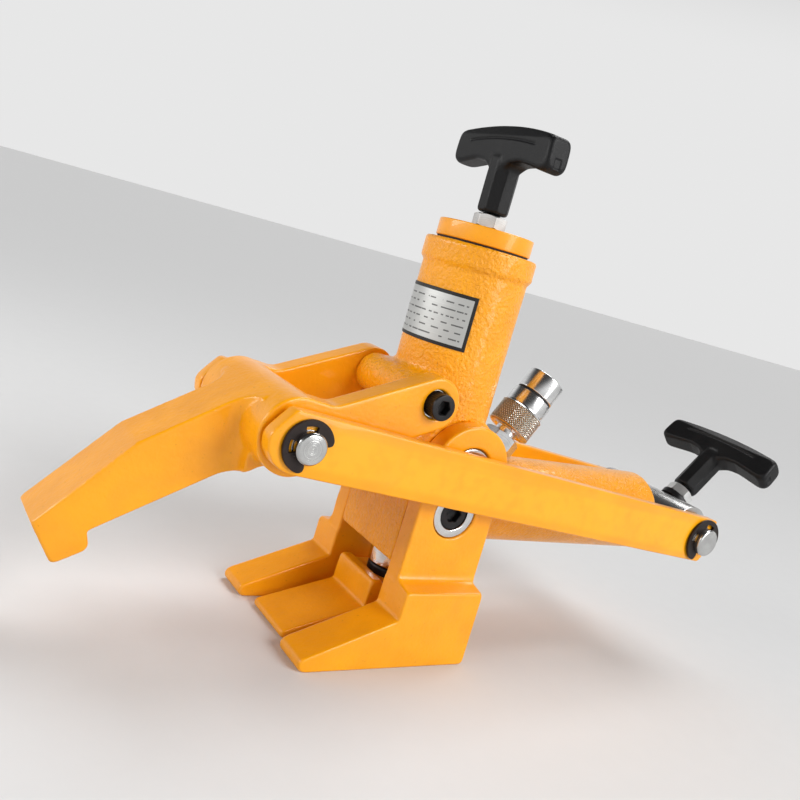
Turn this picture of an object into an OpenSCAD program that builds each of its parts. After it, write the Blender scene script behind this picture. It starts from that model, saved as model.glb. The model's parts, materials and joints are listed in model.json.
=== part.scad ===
// Hydraulic bead breaker for large tyres.
// X points from the jaw to the clamp crossbar, Y runs along the pivot pins and Z points up the push cylinder.
// The origin lies on the push cylinder's axis, in the plane of the leg soles. Sizes are in millimetres.

/* [Push cylinder] */
// Outer radius of the push cylinder
push_r = 34; // [32:0.5:36]
// Height of the top of its collar above the soles
push_top = 258; // [250:1:270]
// Height of the bottom of the casting above the soles
push_bottom = 58; // [54:1:62]
// Radius of the push piston's bore
push_bore_r = 24; // [22:0.5:25]
// Radius of the push rod
push_rod_r = 16; // [14:0.5:17]

/* [Clamp cylinder] */
// Outer radius of the clamp cylinder
clamp_r = 30; // [29:0.5:31]
// Height of its axis above the soles
clamp_z = 95; // [93:1:97]
// Distance of its open end from the push cylinder's axis
clamp_end = 213; // [208:1:213]
// Radius of the clamp piston's bore
clamp_bore_r = 22; // [20:0.5:23]
// Radius of the clamp rod
clamp_rod_r = 12; // [10:0.5:13]

/* [Pivots] */
// Jaw pivot, behind the push cylinder's front: distance in front of its axis
jaw_pivot_x = -34.5; // [-36:0.5:-33]
// Jaw pivot height
jaw_pivot_z = 163; // [161:0.5:165]
// Jaw pin, between the jaw and the side links: distance in front of the push axis
jaw_pin_x = -119; // [-121:0.5:-117]
// Jaw pin height
jaw_pin_z = 133; // [131:0.5:135]
// Distance of the crossbar's axis behind the push axis
crossbar_x = 235; // [235:0.5:238]
// Radius of the pins that the side links turn on
link_pin_r = 9; // [8:0.5:10]

/* [Jaw and links] */
// Half the width of the jaw's arm
arm_half = 18.6; // [16:0.2:20]
// Radius of the jaw's hub
hub_r = 22.5; // [21:0.5:24]
// Radius of the ears' round ends
ear_r = 16; // [14:0.5:18]
// Height of a side link
link_h = 34.5; // [32:0.5:36]
// Thickness of a side link
link_t = 10; // [8:0.5:11]

/* [Legs and foot] */
// Half the gap between the legs
leg_gap = 32.5; // [32.5:0.5:33]
// Thickness of a leg's upper plate
leg_t = 13.5; // [12:0.5:14]
// Thickness of a leg's lower block
leg_block_t = 27.5; // [24:0.5:28]
// Half the width of the pusher foot
foot_half = 22; // [18:0.5:24]

/* [Grips and coupler] */
// Half the length of the top grip's bar
grip_half = 46; // [36:0.5:50]
// Half the length of the clamp grip's bar
clamp_grip_half = 49.5; // [36:0.5:52]
// Lean of the coupler from upright
coupler_tilt = 29; // [25:1:32]
// Lean of the clamp grip from upright
clamp_grip_tilt = 40; // [34:1:42]
// Sideways offset of the clamp grip
clamp_grip_y = -14; // [-18:1:-12]
// Turn of the clamp grip about its own stud
clamp_grip_turn = 4; // [0:1:10]

/* [Hidden] */
$fn = 96;
PAINT = "#f5a21c";
STEEL = "#c9ccd0";
CHROME = "#dfe3e8";
BLACK_STEEL = "#26262a";
PLASTIC = "#1d1d20";
RUBBER = "#111113";
BRONZE = "#b08a4a";

over = 1;               // how far a cutter passes the face that it cuts
fit = 0.05;             // radial clearance of a pin in its hole
gap = 0.5;              // side clearance between moving parts

ear_in = 31;            // inner face of the jaw's ears
ear_out = 46;           // outer face of the jaw's ears
link_in = 49;           // inner face of the side links
link_out = link_in + link_t;
leg_out = leg_gap + leg_t;
block_out = leg_gap + leg_block_t;

pivot = [jaw_pivot_x, jaw_pivot_z];
pin = [jaw_pin_x, jaw_pin_z];
crossbar = [crossbar_x, clamp_z];

boss = [4.5, 124];      // centre of the rounded tops of the legs and of the casting between them
boss_r = 32;
leg_top_r = 29.5;
leg_front = -27;
leg_back = 34;
casting_front = -26;
push_shoulder = 100;    // lower end of the round push cylinder, above the flat block
lower_fastener = [3, 96];

guide_r = 21;           // seat of the rod's guide bush
bore_bottom = 112;      // lower end of the push bore
bore_top = 240;         // upper end of the push bore
cap_thread_r = 27;
cap_r = 30.5;
cap_bottom = 259.3;
cap_top = 270;
collar_r = 36;
collar_h = 13;

piston_h = 20;
push_piston_top = 234;
clamp_blind = 44;       // blind end of the clamp bore
clamp_piston_x = 60;
clamp_piston_l = 18;
gland_r = 24.5;
gland_x = 196;

gallery_r = 2;
gallery_x = 29;
gallery_z = 236;

sleeve_r = 9;
pivot_boss_r = 13;
pivot_boss_half = 30.7;
sleeve_out = 43;
pivot_screw_r = 5;
pivot_head_r = 8;
pivot_head_h = 10;

dowel_r = 15.4;
dowel_in = 31;
dowel_out = 45.3;
leg_screw_r = 7;
leg_screw_head_r = 10;
leg_screw_head_in = 37;
leg_screw_in = 26;

crossbar_pin_r = 10.5;
ring_groove = 1.5;      // depth of a ring's groove in its pin
jaw_pin_ring_r = 15;
crossbar_ring_r = 17;
ring_t = 2;
pin_end = 66;

crossbar_r = 21;
crossbar_half = 44.5;
crossbar_neck_r = 13;
crossbar_seat = crossbar_x + 7;

stud_r = 6;
stem_r = 10.3;
stem_h = 30;
clamp_stem_h = 36;
bar_half_w = 8.5;
nut_r = 11;
nut_h = 8;
top_nut_z = 270.8;
top_stem_z = 280;
spot_face = 19.5;       // distance of the clamp nut's seat from the crossbar's axis
washer_t = 4.5;
clamp_stem_d = spot_face + washer_t + nut_h + 2;

coupler_base = [55, 0, 125];
socket_r = 9;
coupler_end_d = 68;
plate_r = 0.7;
plate_low = 194.5;
plate_high = 228;
plate_half_angle = 64;

sole_tip = -88.5;
foot_tip = -82;
foot_top = 36;
foot_screw_z = 26;

// ---- plane geometry, in the XZ plane ----

function turn(v, a) = [v.x * cos(a) - v.y * sin(a), v.x * sin(a) + v.y * cos(a)];
// Points of an arc about c, from angle a0 to a1
function arc(c, r, a0, a1, n = 8) = [for (i = [0:n]) c + r * turn([1, 0], a0 + (a1 - a0) * i / n)];
// Where the tangent from the point p touches a circle; side is 1 or -1
function touch(c, r, p, side) =
    let (a = atan2(p.y - c.y, p.x - c.x) + side * acos(r / norm(p - c)))
    c + r * turn([1, 0], a);
// End points, on both circles, of their outer tangent; side is 1 for the left of the way from c0 to c1
function outer_tangent(c0, r0, c1, r1, side) =
    let (a = atan2(c1.y - c0.y, c1.x - c0.x) + side * acos((r0 - r1) / norm(c1 - c0)))
    [c0 + r0 * turn([1, 0], a), c1 + r1 * turn([1, 0], a)];

// ---- placing helpers ----

// A round bar along Y at the point p of the XZ plane
module y_rod(p, r, y0, y1) {
    translate([p.x, y1, p.y]) rotate([90, 0, 0]) cylinder(r = r, h = y1 - y0);
}

// A round bar along X at height z
module x_rod(z, r, x0, x1) {
    translate([x0, 0, z]) rotate([0, 90, 0]) cylinder(r = r, h = x1 - x0);
}

// A ring along Z
module z_ring(r_in, r_out, z0, z1) {
    translate([0, 0, z0]) rotate_extrude() polygon([[r_in, 0], [r_out, 0], [r_out, z1 - z0], [r_in, z1 - z0]]);
}

// A ring along X at height z
module x_ring(z, r_in, r_out, x0, x1) {
    translate([x0, 0, z]) rotate([0, 90, 0]) z_ring(r_in, r_out, 0, x1 - x0);
}

// A plate that carries an XZ outline from y0 to y1
module plate(y0, y1) {
    translate([0, y1, 0]) rotate([90, 0, 0]) linear_extrude(y1 - y0) children();
}

// The same thing on both sides of the tool
module both_sides() {
    children();
    mirror([0, 1, 0]) children();
}

module coupler_frame() {
    translate(coupler_base) rotate([0, coupler_tilt, 0]) children();
}

module clamp_grip_frame() {
    translate([crossbar_x, clamp_grip_y, clamp_z]) rotate([0, clamp_grip_tilt, 0]) children();
}

module hex_prism(r, h) {
    cylinder(r = r, h = h, $fn = 6);
}

// A socket head screw along Z, with its head's top at 0 and its shank below
module socket_screw(head_r, head_h, shank_r, length) {
    difference() {
        union() {
            translate([0, 0, -head_h]) cylinder(r = head_r, h = head_h);
            translate([0, 0, -head_h - length]) cylinder(r = shank_r, h = length);
        }
        translate([0, 0, -head_h * 0.55]) hex_prism(head_r * 0.58, head_h);
    }
}

// A coil spring along Z, swept with a round wire
module coil_spring(r, wire_r, length, turns, steps = 20, sides = 8) {
    rings = turns * steps;
    function wire_point(i, j) =
        let (a = 360 * i / steps, b = 360 * j / sides, d = r + wire_r * cos(b))
        [d * cos(a), d * sin(a), wire_r + (length - 2 * wire_r) * i / rings + wire_r * sin(b)];
    points = [for (i = [0:rings]) for (j = [0:sides - 1]) wire_point(i, j)];
    walls = [for (i = [0:rings - 1]) for (j = [0:sides - 1])
        [i * sides + j, (i + 1) * sides + j, (i + 1) * sides + (j + 1) % sides, i * sides + (j + 1) % sides]];
    first = [for (j = [0:sides - 1]) j];
    last = [for (j = [sides - 1:-1:0]) rings * sides + j];
    polyhedron(points, concat([first], walls, [last]));
}

// A retaining ring about Y on a pin of radius pin_r, with three wide prongs and an open side at the angle open_at
module e_ring(p, y0, y1, open_at, pin_r, ring_r) {
    h = y1 - y0;
    opening = 48;
    slot = 22;
    translate([p.x, y1, p.y]) rotate([90, 0, 0]) rotate([0, 0, open_at]) difference() {
        cylinder(r = ring_r, h = h);
        translate([0, 0, -over]) cylinder(r = pin_r - ring_groove + fit, h = h + 2 * over);
        translate([0, 0, -over]) linear_extrude(h + 2 * over)
            polygon(concat([[0, 0]], arc([0, 0], ring_r + 6, -opening, opening, 8)));
        for (a = [135, 225]) translate([0, 0, -over]) linear_extrude(h + 2 * over)
            polygon(concat(arc([0, 0], pin_r - ring_groove, a - slot, a + slot, 8),
                arc([0, 0], ring_r - 3.6, a + slot, a - slot, 8)));
    }
}

// ---- body ----

module collar_outline() {
    chamfer = 1.2;
    polygon([[0, push_top - collar_h - 2], [push_r, push_top - collar_h - 2], [collar_r, push_top - collar_h],
        [collar_r, push_top - chamfer], [collar_r - chamfer, push_top], [0, push_top]]);
}

module casting_outline() {
    translate(boss) circle(r = boss_r);
    polygon([[casting_front, push_bottom], [leg_back, push_bottom], [leg_back, boss.y], [casting_front, boss.y]]);
}

// Machined seats for the legs, where the push cylinder stands proud of them
module leg_seats() {
    both_sides() plate(leg_gap, push_r + over) {
        translate(boss) circle(r = leg_top_r + gap);
        polygon([[leg_front - gap, push_shoulder - over], [leg_back + gap, push_shoulder - over],
            [leg_back + gap, boss.y], [boss.x - leg_top_r - gap, boss.y]]);
    }
}

module push_bores() {
    translate([0, 0, push_bottom - over]) cylinder(r = guide_r, h = bore_bottom - push_bottom + over);
    translate([0, 0, bore_bottom - over]) cylinder(r = push_bore_r, h = bore_top - bore_bottom + over);
    translate([0, 0, bore_top - over]) cylinder(r = cap_thread_r, h = push_top - bore_top + 2 * over);
}

module clamp_bores() {
    x_rod(clamp_z, clamp_bore_r, clamp_blind, clamp_end + over);
    x_rod(clamp_z, gland_r, gland_x, clamp_end + over);
}

// Oil ways: from the coupler into the clamp bore, and on up to the top of the push bore
module galleries() {
    coupler_frame() translate([0, 0, -12]) cylinder(r = 3, h = 14);
    coupler_frame() translate([0, 0, -5]) cylinder(r = 8, h = 14);
    x_rod(clamp_z, gallery_r, gallery_x, clamp_blind + over);
    translate([gallery_x, 0, clamp_z]) cylinder(r = gallery_r, h = gallery_z - clamp_z);
    x_rod(gallery_z, gallery_r, push_bore_r - over, gallery_x);
}

module body_casting() {
    color(PAINT) difference() {
        union() {
            translate([0, 0, push_shoulder]) cylinder(r = push_r, h = push_top - push_shoulder - over);
            rotate_extrude() collar_outline();
            plate(-leg_gap, leg_gap) casting_outline();
            x_rod(clamp_z, clamp_r, 0, clamp_end);
            y_rod(pivot, pivot_boss_r, -pivot_boss_half, pivot_boss_half);
            plate(-pivot_boss_half + 3, pivot_boss_half - 3) polygon([[pivot.x, pivot.y - pivot_boss_r],
                [0, pivot.y - pivot_boss_r], [0, pivot.y + pivot_boss_r], [pivot.x, pivot.y + pivot_boss_r]]);
            coupler_frame() translate([0, 0, -8]) cylinder(r = 14, h = 11);
        }
        leg_seats();
        push_bores();
        clamp_bores();
        galleries();
        both_sides() {
            y_rod(pivot, pivot_screw_r, pivot_boss_half - 14, pivot_boss_half + over);
            for (p = [lower_fastener, boss]) {
                y_rod(p, dowel_r, dowel_in, leg_gap + over);
                y_rod(p, leg_screw_r, leg_screw_in, leg_gap);
            }
        }
    }
}

module cylinder_cap() {
    chamfer = 1;
    color(PAINT) difference() {
        rotate_extrude() polygon([[0, bore_top + 1], [cap_thread_r, bore_top + 1], [cap_thread_r, cap_bottom],
            [cap_r, cap_bottom], [cap_r, cap_top - chamfer], [cap_r - chamfer, cap_top], [0, cap_top]]);
        translate([0, 0, cap_bottom - 9]) cylinder(r = stud_r, h = 30);
    }
}

module cap_gasket() {
    color(RUBBER) z_ring(cap_thread_r, cap_r - 0.8, push_top, cap_bottom);
}

module push_guide_bush() {
    color(BRONZE) z_ring(push_rod_r + fit, guide_r, push_bottom + 4, bore_bottom);
}

module push_wiper() {
    color(RUBBER) z_ring(push_rod_r + fit, guide_r, push_bottom - 2, push_bottom + 4);
}

module clamp_gland() {
    color(STEEL) difference() {
        x_ring(clamp_z, clamp_rod_r + fit, gland_r, gland_x, clamp_end - 1);
        x_rod(clamp_z, clamp_rod_r + 3.5, clamp_end - 5, clamp_end);
    }
}

module clamp_wiper() {
    color(RUBBER) x_ring(clamp_z, clamp_rod_r + fit, clamp_rod_r + 3.5, clamp_end - 5, clamp_end - 1);
}

module name_plate() {
    color(CHROME) intersection() {
        z_ring(push_r, push_r + plate_r, plate_low, plate_high);
        translate([0, 0, plate_low]) linear_extrude(plate_high - plate_low)
            polygon([[0, 0], 60 * turn([1, 0], 180 - plate_half_angle), [-60, 40], [-60, -40],
                60 * turn([1, 0], 180 + plate_half_angle)]);
    }
}

// ---- legs ----

module leg_toe_outline() {
    nose_r = 4.5;
    nose = [sole_tip + nose_r, nose_r];
    root = [-27.7, 31.5];
    top_touch = touch(nose, nose_r, root, 1);
    top_angle = atan2(top_touch.y - nose.y, top_touch.x - nose.x);
    polygon(concat([[leg_back - 1.5, 0], [leg_back - 1.5, 49.5], [leg_front, 49.5], root],
        arc(nose, nose_r, top_angle, 270)));
}

module leg_plate_outline() {
    translate(boss) circle(r = leg_top_r);
    polygon([[leg_front, 20], [leg_back, 20], [leg_back, boss.y], [boss.x - leg_top_r, boss.y]]);
}

module leg() {
    difference() {
        union() {
            plate(leg_gap, block_out) leg_toe_outline();
            plate(leg_gap, leg_out) leg_plate_outline();
            translate([leg_front, 0, 0]) rotate([90, 0, 90]) linear_extrude(leg_back - 1.5 - leg_front)
                polygon(concat([[leg_out - over, 45], [block_out, 45], [block_out, 48.5], [block_out - 1, 49.5]],
                    [[leg_out + 4, 51.2], [leg_out + 1.2, 52.4], [leg_out, 55], [leg_out - over, 55]]));
        }
        for (p = [lower_fastener, boss]) y_rod(p, dowel_r + 0.6, leg_gap - over, leg_out + over);
    }
}

module leg_left() {
    color(PAINT) mirror([0, 1, 0]) leg();
}

module leg_right() {
    color(PAINT) leg();
}

module leg_dowels() {
    color(CHROME) both_sides() for (p = [lower_fastener, boss]) difference() {
        y_rod(p, dowel_r, dowel_in, dowel_out);
        y_rod(p, leg_screw_r + fit, dowel_in - over, leg_screw_head_in + over);
        y_rod(p, leg_screw_head_r + 0.3, leg_screw_head_in, dowel_out + over);
    }
}

module leg_screws() {
    color(BLACK_STEEL) both_sides() for (p = [lower_fastener, boss])
        translate([p.x, dowel_out - 0.8, p.y]) rotate([-90, 0, 0])
            socket_screw(leg_screw_head_r, dowel_out - 0.8 - leg_screw_head_in, leg_screw_r,
                leg_screw_head_in - leg_screw_in);
}

// ---- grips ----

module grip_side_outline(h, half) {
    sag = 5;
    top_r = (half * half + sag * sag) / (2 * sag);
    half_angle = asin(half / top_r);
    top = h + 24;
    polygon(concat(arc([0, top - top_r], top_r, 90 - half_angle, 90 + half_angle, 16),
        [[-half - 1, h + 1], [-half + 3, h - 2], [-22, h + 2], [-13, h + 1], [-8, h - 3], [8, h - 3],
        [13, h + 1], [22, h + 2], [half - 3, h - 2], [half + 1, h + 1]]));
}

module grip_section_outline(h) {
    w = bar_half_w;
    z0 = h - 4;
    z1 = h + 25;
    polygon([[-w + 3, z0], [w - 3, z0], [w, z0 + 4], [w, z1 - 8], [w - 4, z1], [-w + 4, z1], [-w, z1 - 8],
        [-w, z0 + 4]]);
}

// A T grip about Z, with its stem's foot at 0, a stem of length h and a bar of twice half along Y
module tee_grip(h, half) {
    color(PLASTIC) difference() {
        union() {
            rotate([0, 0, 22.5]) cylinder(r = stem_r, h = h + 4, $fn = 8);
            intersection() {
                translate([-20, 0, 0]) rotate([90, 0, 90]) linear_extrude(40) grip_side_outline(h, half);
                translate([0, 55, 0]) rotate([90, 0, 0]) linear_extrude(110) grip_section_outline(h);
            }
        }
        translate([0, 0, -over]) cylinder(r = stud_r, h = 23 + over);
    }
}

module stud(z0, z1) {
    color(STEEL) translate([0, 0, z0]) cylinder(r = stud_r, h = z1 - z0);
}

module hex_nut(z0) {
    color(CHROME) translate([0, 0, z0]) difference() {
        hex_prism(nut_r, nut_h);
        translate([0, 0, -over]) cylinder(r = stud_r + fit, h = nut_h + 2 * over);
    }
}

module top_grip_stud() {
    stud(cap_bottom - 8, top_stem_z + 22);
}

module top_grip_nut() {
    rotate([0, 0, 12]) hex_nut(top_nut_z);
}

module top_grip() {
    translate([0, 0, top_stem_z]) tee_grip(stem_h, grip_half);
}

module clamp_grip_stud() {
    clamp_grip_frame() stud(9, clamp_stem_d + 22);
}

module clamp_grip_washer() {
    color(BLACK_STEEL) clamp_grip_frame() z_ring(stud_r + fit, 11.5, spot_face, spot_face + washer_t);
}

module clamp_grip_nut() {
    clamp_grip_frame() hex_nut(spot_face + washer_t);
}

module clamp_grip() {
    clamp_grip_frame() translate([0, 0, clamp_stem_d]) rotate([0, 0, clamp_grip_turn])
        tee_grip(clamp_stem_h, clamp_grip_half);
}

// ---- hydraulic coupler ----

module coupler_adapter() {
    color(CHROME) coupler_frame() difference() {
        union() {
            translate([0, 0, -5]) cylinder(r = 8, h = 26.5);
            translate([0, 0, 7]) cylinder(r = 13.6, h = 11, $fn = 6);
        }
        translate([0, 0, -5 - over]) cylinder(r = 3, h = 26.5 + 2 * over);
    }
}

module coupler_body() {
    color(CHROME) coupler_frame() difference() {
        rotate_extrude() polygon([[0, 21.5], [11.4, 21.5], [11.4, 53], [13.7, 53], [13.7, coupler_end_d - 1],
            [12.7, coupler_end_d], [0, coupler_end_d]]);
        translate([0, 0, coupler_end_d - 14]) cylinder(r = socket_r, h = 15);
        translate([0, 0, 34]) cylinder(r = 5.1, h = 21);
        translate([0, 0, 20]) cylinder(r = 3, h = 15);
    }
}

module coupler_collar() {
    color(CHROME) coupler_frame() rotate_extrude() polygon([[11.4 + fit, 22], [14.6, 22], [16, 23.5], [16, 38.5],
        [14.6, 40], [14.6, 50.8], [14, 51.4], [11.4 + fit, 51.4]]);
}

module coupler_ring() {
    color(RUBBER) coupler_frame() z_ring(11.4, 13.4, 51.7, 53);
}

module coupler_poppet() {
    color(STEEL) coupler_frame() rotate_extrude() polygon([[0, 45], [2.4, 45], [2.4, 48], [5, 48], [5, 51],
        [3, 53.5], [0, 53.5]]);
}

module poppet_spring() {
    color(STEEL) coupler_frame() translate([0, 0, 34.2]) coil_spring(3.7, 0.6, 13.5, 5, 16, 6);
}

// ---- jaw ----

module ear_outline() {
    low = outer_tangent(pin, hub_r, pivot, ear_r, -1);
    dip = [pin.x + 17.5, pin.y + 34.3];
    dip_r = 14;
    high = touch(pivot, ear_r, arc(dip, dip_r, 288, 288, 1)[0], -1);
    translate(pin) circle(r = hub_r);
    translate(pivot) circle(r = ear_r);
    polygon(concat([low[0], low[1], pivot, high], arc(dip, dip_r, 288, 257), [pin + hub_r * turn([1, 0], 77), pin]));
}

module arm_side_outline() {
    hub_top = touch(pin, hub_r, [-192.4, 112.7], -1);
    polygon([[-235.8, 65.5], [-192.4, 112.7], hub_top, pin, [pin.x, pin.y - hub_r + 2], [-122, 112.5],
        [-129.5, 109.2], [-208, 62.5], [-205.5, 54.5], [-206.8, 51.6], [-221, 44.2], [-223, 44.8]]);
}

module arm_plan_outline() {
    flare = 12;
    root = pin.x - 18;
    difference() {
        union() {
            translate([-240, -arm_half]) square([240 + pin.x, 2 * arm_half]);
            translate([root - flare, -ear_in]) square([flare + 18, 2 * ear_in]);
        }
        for (s = [-1, 1]) translate([root - flare, s * (arm_half + flare)]) circle(r = flare);
        for (s = [-1, 1]) translate([root - 2 * flare, s * (arm_half + flare) - flare]) square([flare, 2 * flare]);
    }
}

module jaw() {
    color(PAINT) difference() {
        union() {
            intersection() {
                plate(-ear_in, ear_in) arm_side_outline();
                translate([0, 0, 30]) linear_extrude(150) arm_plan_outline();
            }
            y_rod(pin, hub_r, -ear_in, ear_in);
            both_sides() plate(ear_in, ear_out) ear_outline();
        }
        y_rod(pin, link_pin_r + 3.4, -ear_out - over, ear_out + over);
        y_rod(pivot, sleeve_r + fit, -ear_out - over, ear_out + over);
    }
}

module jaw_pivot_sleeves() {
    color(CHROME) both_sides() difference() {
        y_rod(pivot, sleeve_r, pivot_boss_half, sleeve_out);
        y_rod(pivot, pivot_screw_r + fit, pivot_boss_half - over, sleeve_out + over);
    }
}

module jaw_pivot_screws() {
    color(BLACK_STEEL) both_sides() translate([pivot.x, sleeve_out + pivot_head_h, pivot.y]) rotate([-90, 0, 0])
        socket_screw(pivot_head_r, pivot_head_h, pivot_screw_r, sleeve_out - pivot_boss_half + 12);
}

// ---- side links ----

// Turned so that its own X runs from the jaw pin to the crossbar
module link_outline() {
    h = link_h / 2;
    length = norm(crossbar - pin);
    polygon([[-12, h], [-17, 10], [-21.5, 3], [-22.3, -1], [-20.5, -7.5], [-15, -13.5], [-9, -16.3], [-3, -h],
        [length + 7, -h], [length + 10, -h + 5], [length + 11.5, h]]);
}

module side_link(y0, y1) {
    color(PAINT) difference() {
        plate(y0, y1) translate(pin) rotate(atan2(crossbar.y - pin.y, crossbar.x - pin.x)) link_outline();
        y_rod(pin, link_pin_r, y0 - over, y1 + over);
        y_rod(crossbar, crossbar_pin_r + fit, y0 - over, y1 + over);
    }
}

module side_link_left() {
    side_link(-link_out, -link_in);
}

module side_link_right() {
    side_link(link_in, link_out);
}

// Half of a link pin, from the tool's middle plane outwards, with a groove for its retaining ring
module pin_outline(r, from) {
    groove = link_out + 0.3;
    chamfer = 1;
    polygon([[0, from], [r, from], [r, groove], [r - ring_groove, groove],
        [r - ring_groove, groove + ring_t + 0.2], [r, groove + ring_t + 0.2], [r, pin_end - chamfer],
        [r - chamfer, pin_end], [0, pin_end]]);
}

module jaw_pin() {
    color(STEEL) translate([pin.x, 0, pin.y]) both_sides() rotate([-90, 0, 0]) rotate_extrude()
        pin_outline(link_pin_r, 0);
}

module jaw_pin_rings() {
    color(BLACK_STEEL) both_sides() e_ring(pin, link_out + 0.4, link_out + 0.4 + ring_t, 318,
        link_pin_r, jaw_pin_ring_r);
}

// ---- push ram ----

module push_rod() {
    color(CHROME) rotate_extrude() polygon([[0, 16], [12, 16], [12, 42], [push_rod_r - 1, 42], [push_rod_r, 43],
        [push_rod_r, push_piston_top - piston_h], [10, push_piston_top - piston_h], [10, push_piston_top],
        [0, push_piston_top]]);
}

module rod_collar() {
    color(BLACK_STEEL) z_ring(12, 15.2, foot_top, 42);
}

module push_piston() {
    z0 = push_piston_top - piston_h;
    r = push_bore_r - fit;
    color(STEEL) translate([0, 0, z0]) rotate_extrude() polygon([[10, 0], [r, 0], [r, 7], [r - 3.5, 7],
        [r - 3.5, 13], [r, 13], [r, piston_h], [10, piston_h]]);
}

module push_piston_seal() {
    z0 = push_piston_top - piston_h;
    color(RUBBER) z_ring(push_bore_r - fit - 3.5, push_bore_r - 0.02, z0 + 7, z0 + 13);
}

module foot_outline() {
    nose_r = 2.8;
    nose = [foot_tip + nose_r, nose_r];
    root = [-27.7, 20.9];
    top_touch = touch(nose, nose_r, root, 1);
    top_angle = atan2(top_touch.y - nose.y, top_touch.x - nose.x);
    polygon(concat([[20, 0], [20, foot_top - 2], [18, foot_top], [-17, foot_top], [-19, 39.4], [-25.5, 39.4],
        [-27, 38]], [root], arc(nose, nose_r, top_angle, 270)));
}

module pusher_foot() {
    color(PAINT) difference() {
        plate(-foot_half, foot_half) foot_outline();
        translate([0, 0, 16]) cylinder(r = 12, h = 30);
        x_rod(foot_screw_z, 3, 11, 21);
    }
}

module foot_set_screw() {
    color(BLACK_STEEL) difference() {
        x_rod(foot_screw_z, 3, 12, 19.5);
        translate([16, 0, foot_screw_z]) rotate([0, 90, 0]) hex_prism(1.7, 5);
    }
}

module push_return_spring() {
    color(STEEL) translate([0, 0, bore_bottom + 0.2])
        coil_spring(20, 2, push_piston_top - piston_h - bore_bottom - 0.4, 6);
}

// ---- clamp ram ----

module clamp_piston() {
    r = clamp_bore_r - fit;
    color(STEEL) translate([clamp_piston_x, 0, clamp_z]) rotate([0, 90, 0]) rotate_extrude() polygon([[8, 0], [r, 0],
        [r, 6], [r - 3.5, 6], [r - 3.5, 12], [r, 12], [r, clamp_piston_l], [8, clamp_piston_l]]);
}

module clamp_piston_seal() {
    x0 = clamp_piston_x + 6;
    color(RUBBER) x_ring(clamp_z, clamp_bore_r - fit - 3.5, clamp_bore_r - 0.02, x0, x0 + 6);
}

module clamp_rod() {
    shoulder = clamp_piston_x + clamp_piston_l;
    neck = crossbar_x - crossbar_r + 2;
    color(CHROME) translate([0, 0, clamp_z]) rotate([0, 90, 0]) difference() {
        rotate_extrude() polygon([[0, clamp_piston_x], [8, clamp_piston_x], [8, shoulder], [clamp_rod_r, shoulder],
            [clamp_rod_r, neck], [9, neck], [9, crossbar_seat], [0, crossbar_seat]]);
        translate([0, 0, crossbar_seat - 15]) cylinder(r = 4, h = 16);
    }
}

module crossbar_shape() {
    y_rod(crossbar, crossbar_r, -crossbar_half, crossbar_half);
    y_rod(crossbar, crossbar_neck_r, -link_in + gap, link_in - gap);
    translate([crossbar.x, 0, crossbar.y]) both_sides() rotate([-90, 0, 0]) rotate_extrude()
        pin_outline(crossbar_pin_r, 40);
}

module crossbar() {
    color(STEEL) difference() {
        crossbar_shape();
        x_rod(clamp_z, 9, crossbar_x - crossbar_r - over, crossbar_seat);
        x_rod(clamp_z, clamp_rod_r, crossbar_x - crossbar_r - over, crossbar_x - crossbar_r + 2);
        x_rod(clamp_z, 4, crossbar_x, crossbar_x + crossbar_r);
        x_rod(clamp_z, 6.8, crossbar_x + crossbar_r - 9, crossbar_x + crossbar_r + over);
        clamp_grip_frame() translate([0, 0, 9]) cylinder(r = stud_r, h = 15);
        clamp_grip_frame() translate([0, 0, spot_face]) cylinder(r = 12.5, h = 10);
    }
}

module crossbar_screw() {
    color(BLACK_STEEL) translate([crossbar_x + crossbar_r - 1, 0, clamp_z]) rotate([0, 90, 0])
        socket_screw(6.5, 8, 4, 17);
}

module crossbar_rings() {
    color(BLACK_STEEL) both_sides() e_ring(crossbar, link_out + 0.4, link_out + 0.4 + ring_t, 301,
        crossbar_pin_r, crossbar_ring_r);
}

module clamp_return_spring() {
    shoulder = clamp_piston_x + clamp_piston_l;
    color(STEEL) translate([shoulder + 0.2, 0, clamp_z]) rotate([0, 90, 0])
        coil_spring(17.5, 2, gland_x - shoulder - 0.4, 9);
}

body_casting();
leg_left();
leg_right();
leg_dowels();
leg_screws();
cylinder_cap();
cap_gasket();
top_grip_stud();
top_grip_nut();
top_grip();
push_guide_bush();
push_wiper();
clamp_gland();
clamp_wiper();
push_return_spring();
clamp_return_spring();
coupler_adapter();
coupler_body();
coupler_collar();
coupler_ring();
coupler_poppet();
poppet_spring();
name_plate();
jaw_pivot_sleeves();
jaw_pivot_screws();
jaw();
jaw_pin();
jaw_pin_rings();
side_link_left();
side_link_right();
push_piston();
push_piston_seal();
push_rod();
rod_collar();
pusher_foot();
foot_set_screw();
clamp_piston();
clamp_piston_seal();
clamp_rod();
crossbar();
crossbar_screw();
crossbar_rings();
clamp_grip_stud();
clamp_grip_washer();
clamp_grip_nut();
clamp_grip();
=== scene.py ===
"""Finished castings, pins, grips and coupler of a hydraulic bead breaker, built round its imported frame."""

import json
import math

import bmesh
import bpy
import numpy as np
from mathutils import Matrix, Vector


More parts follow.
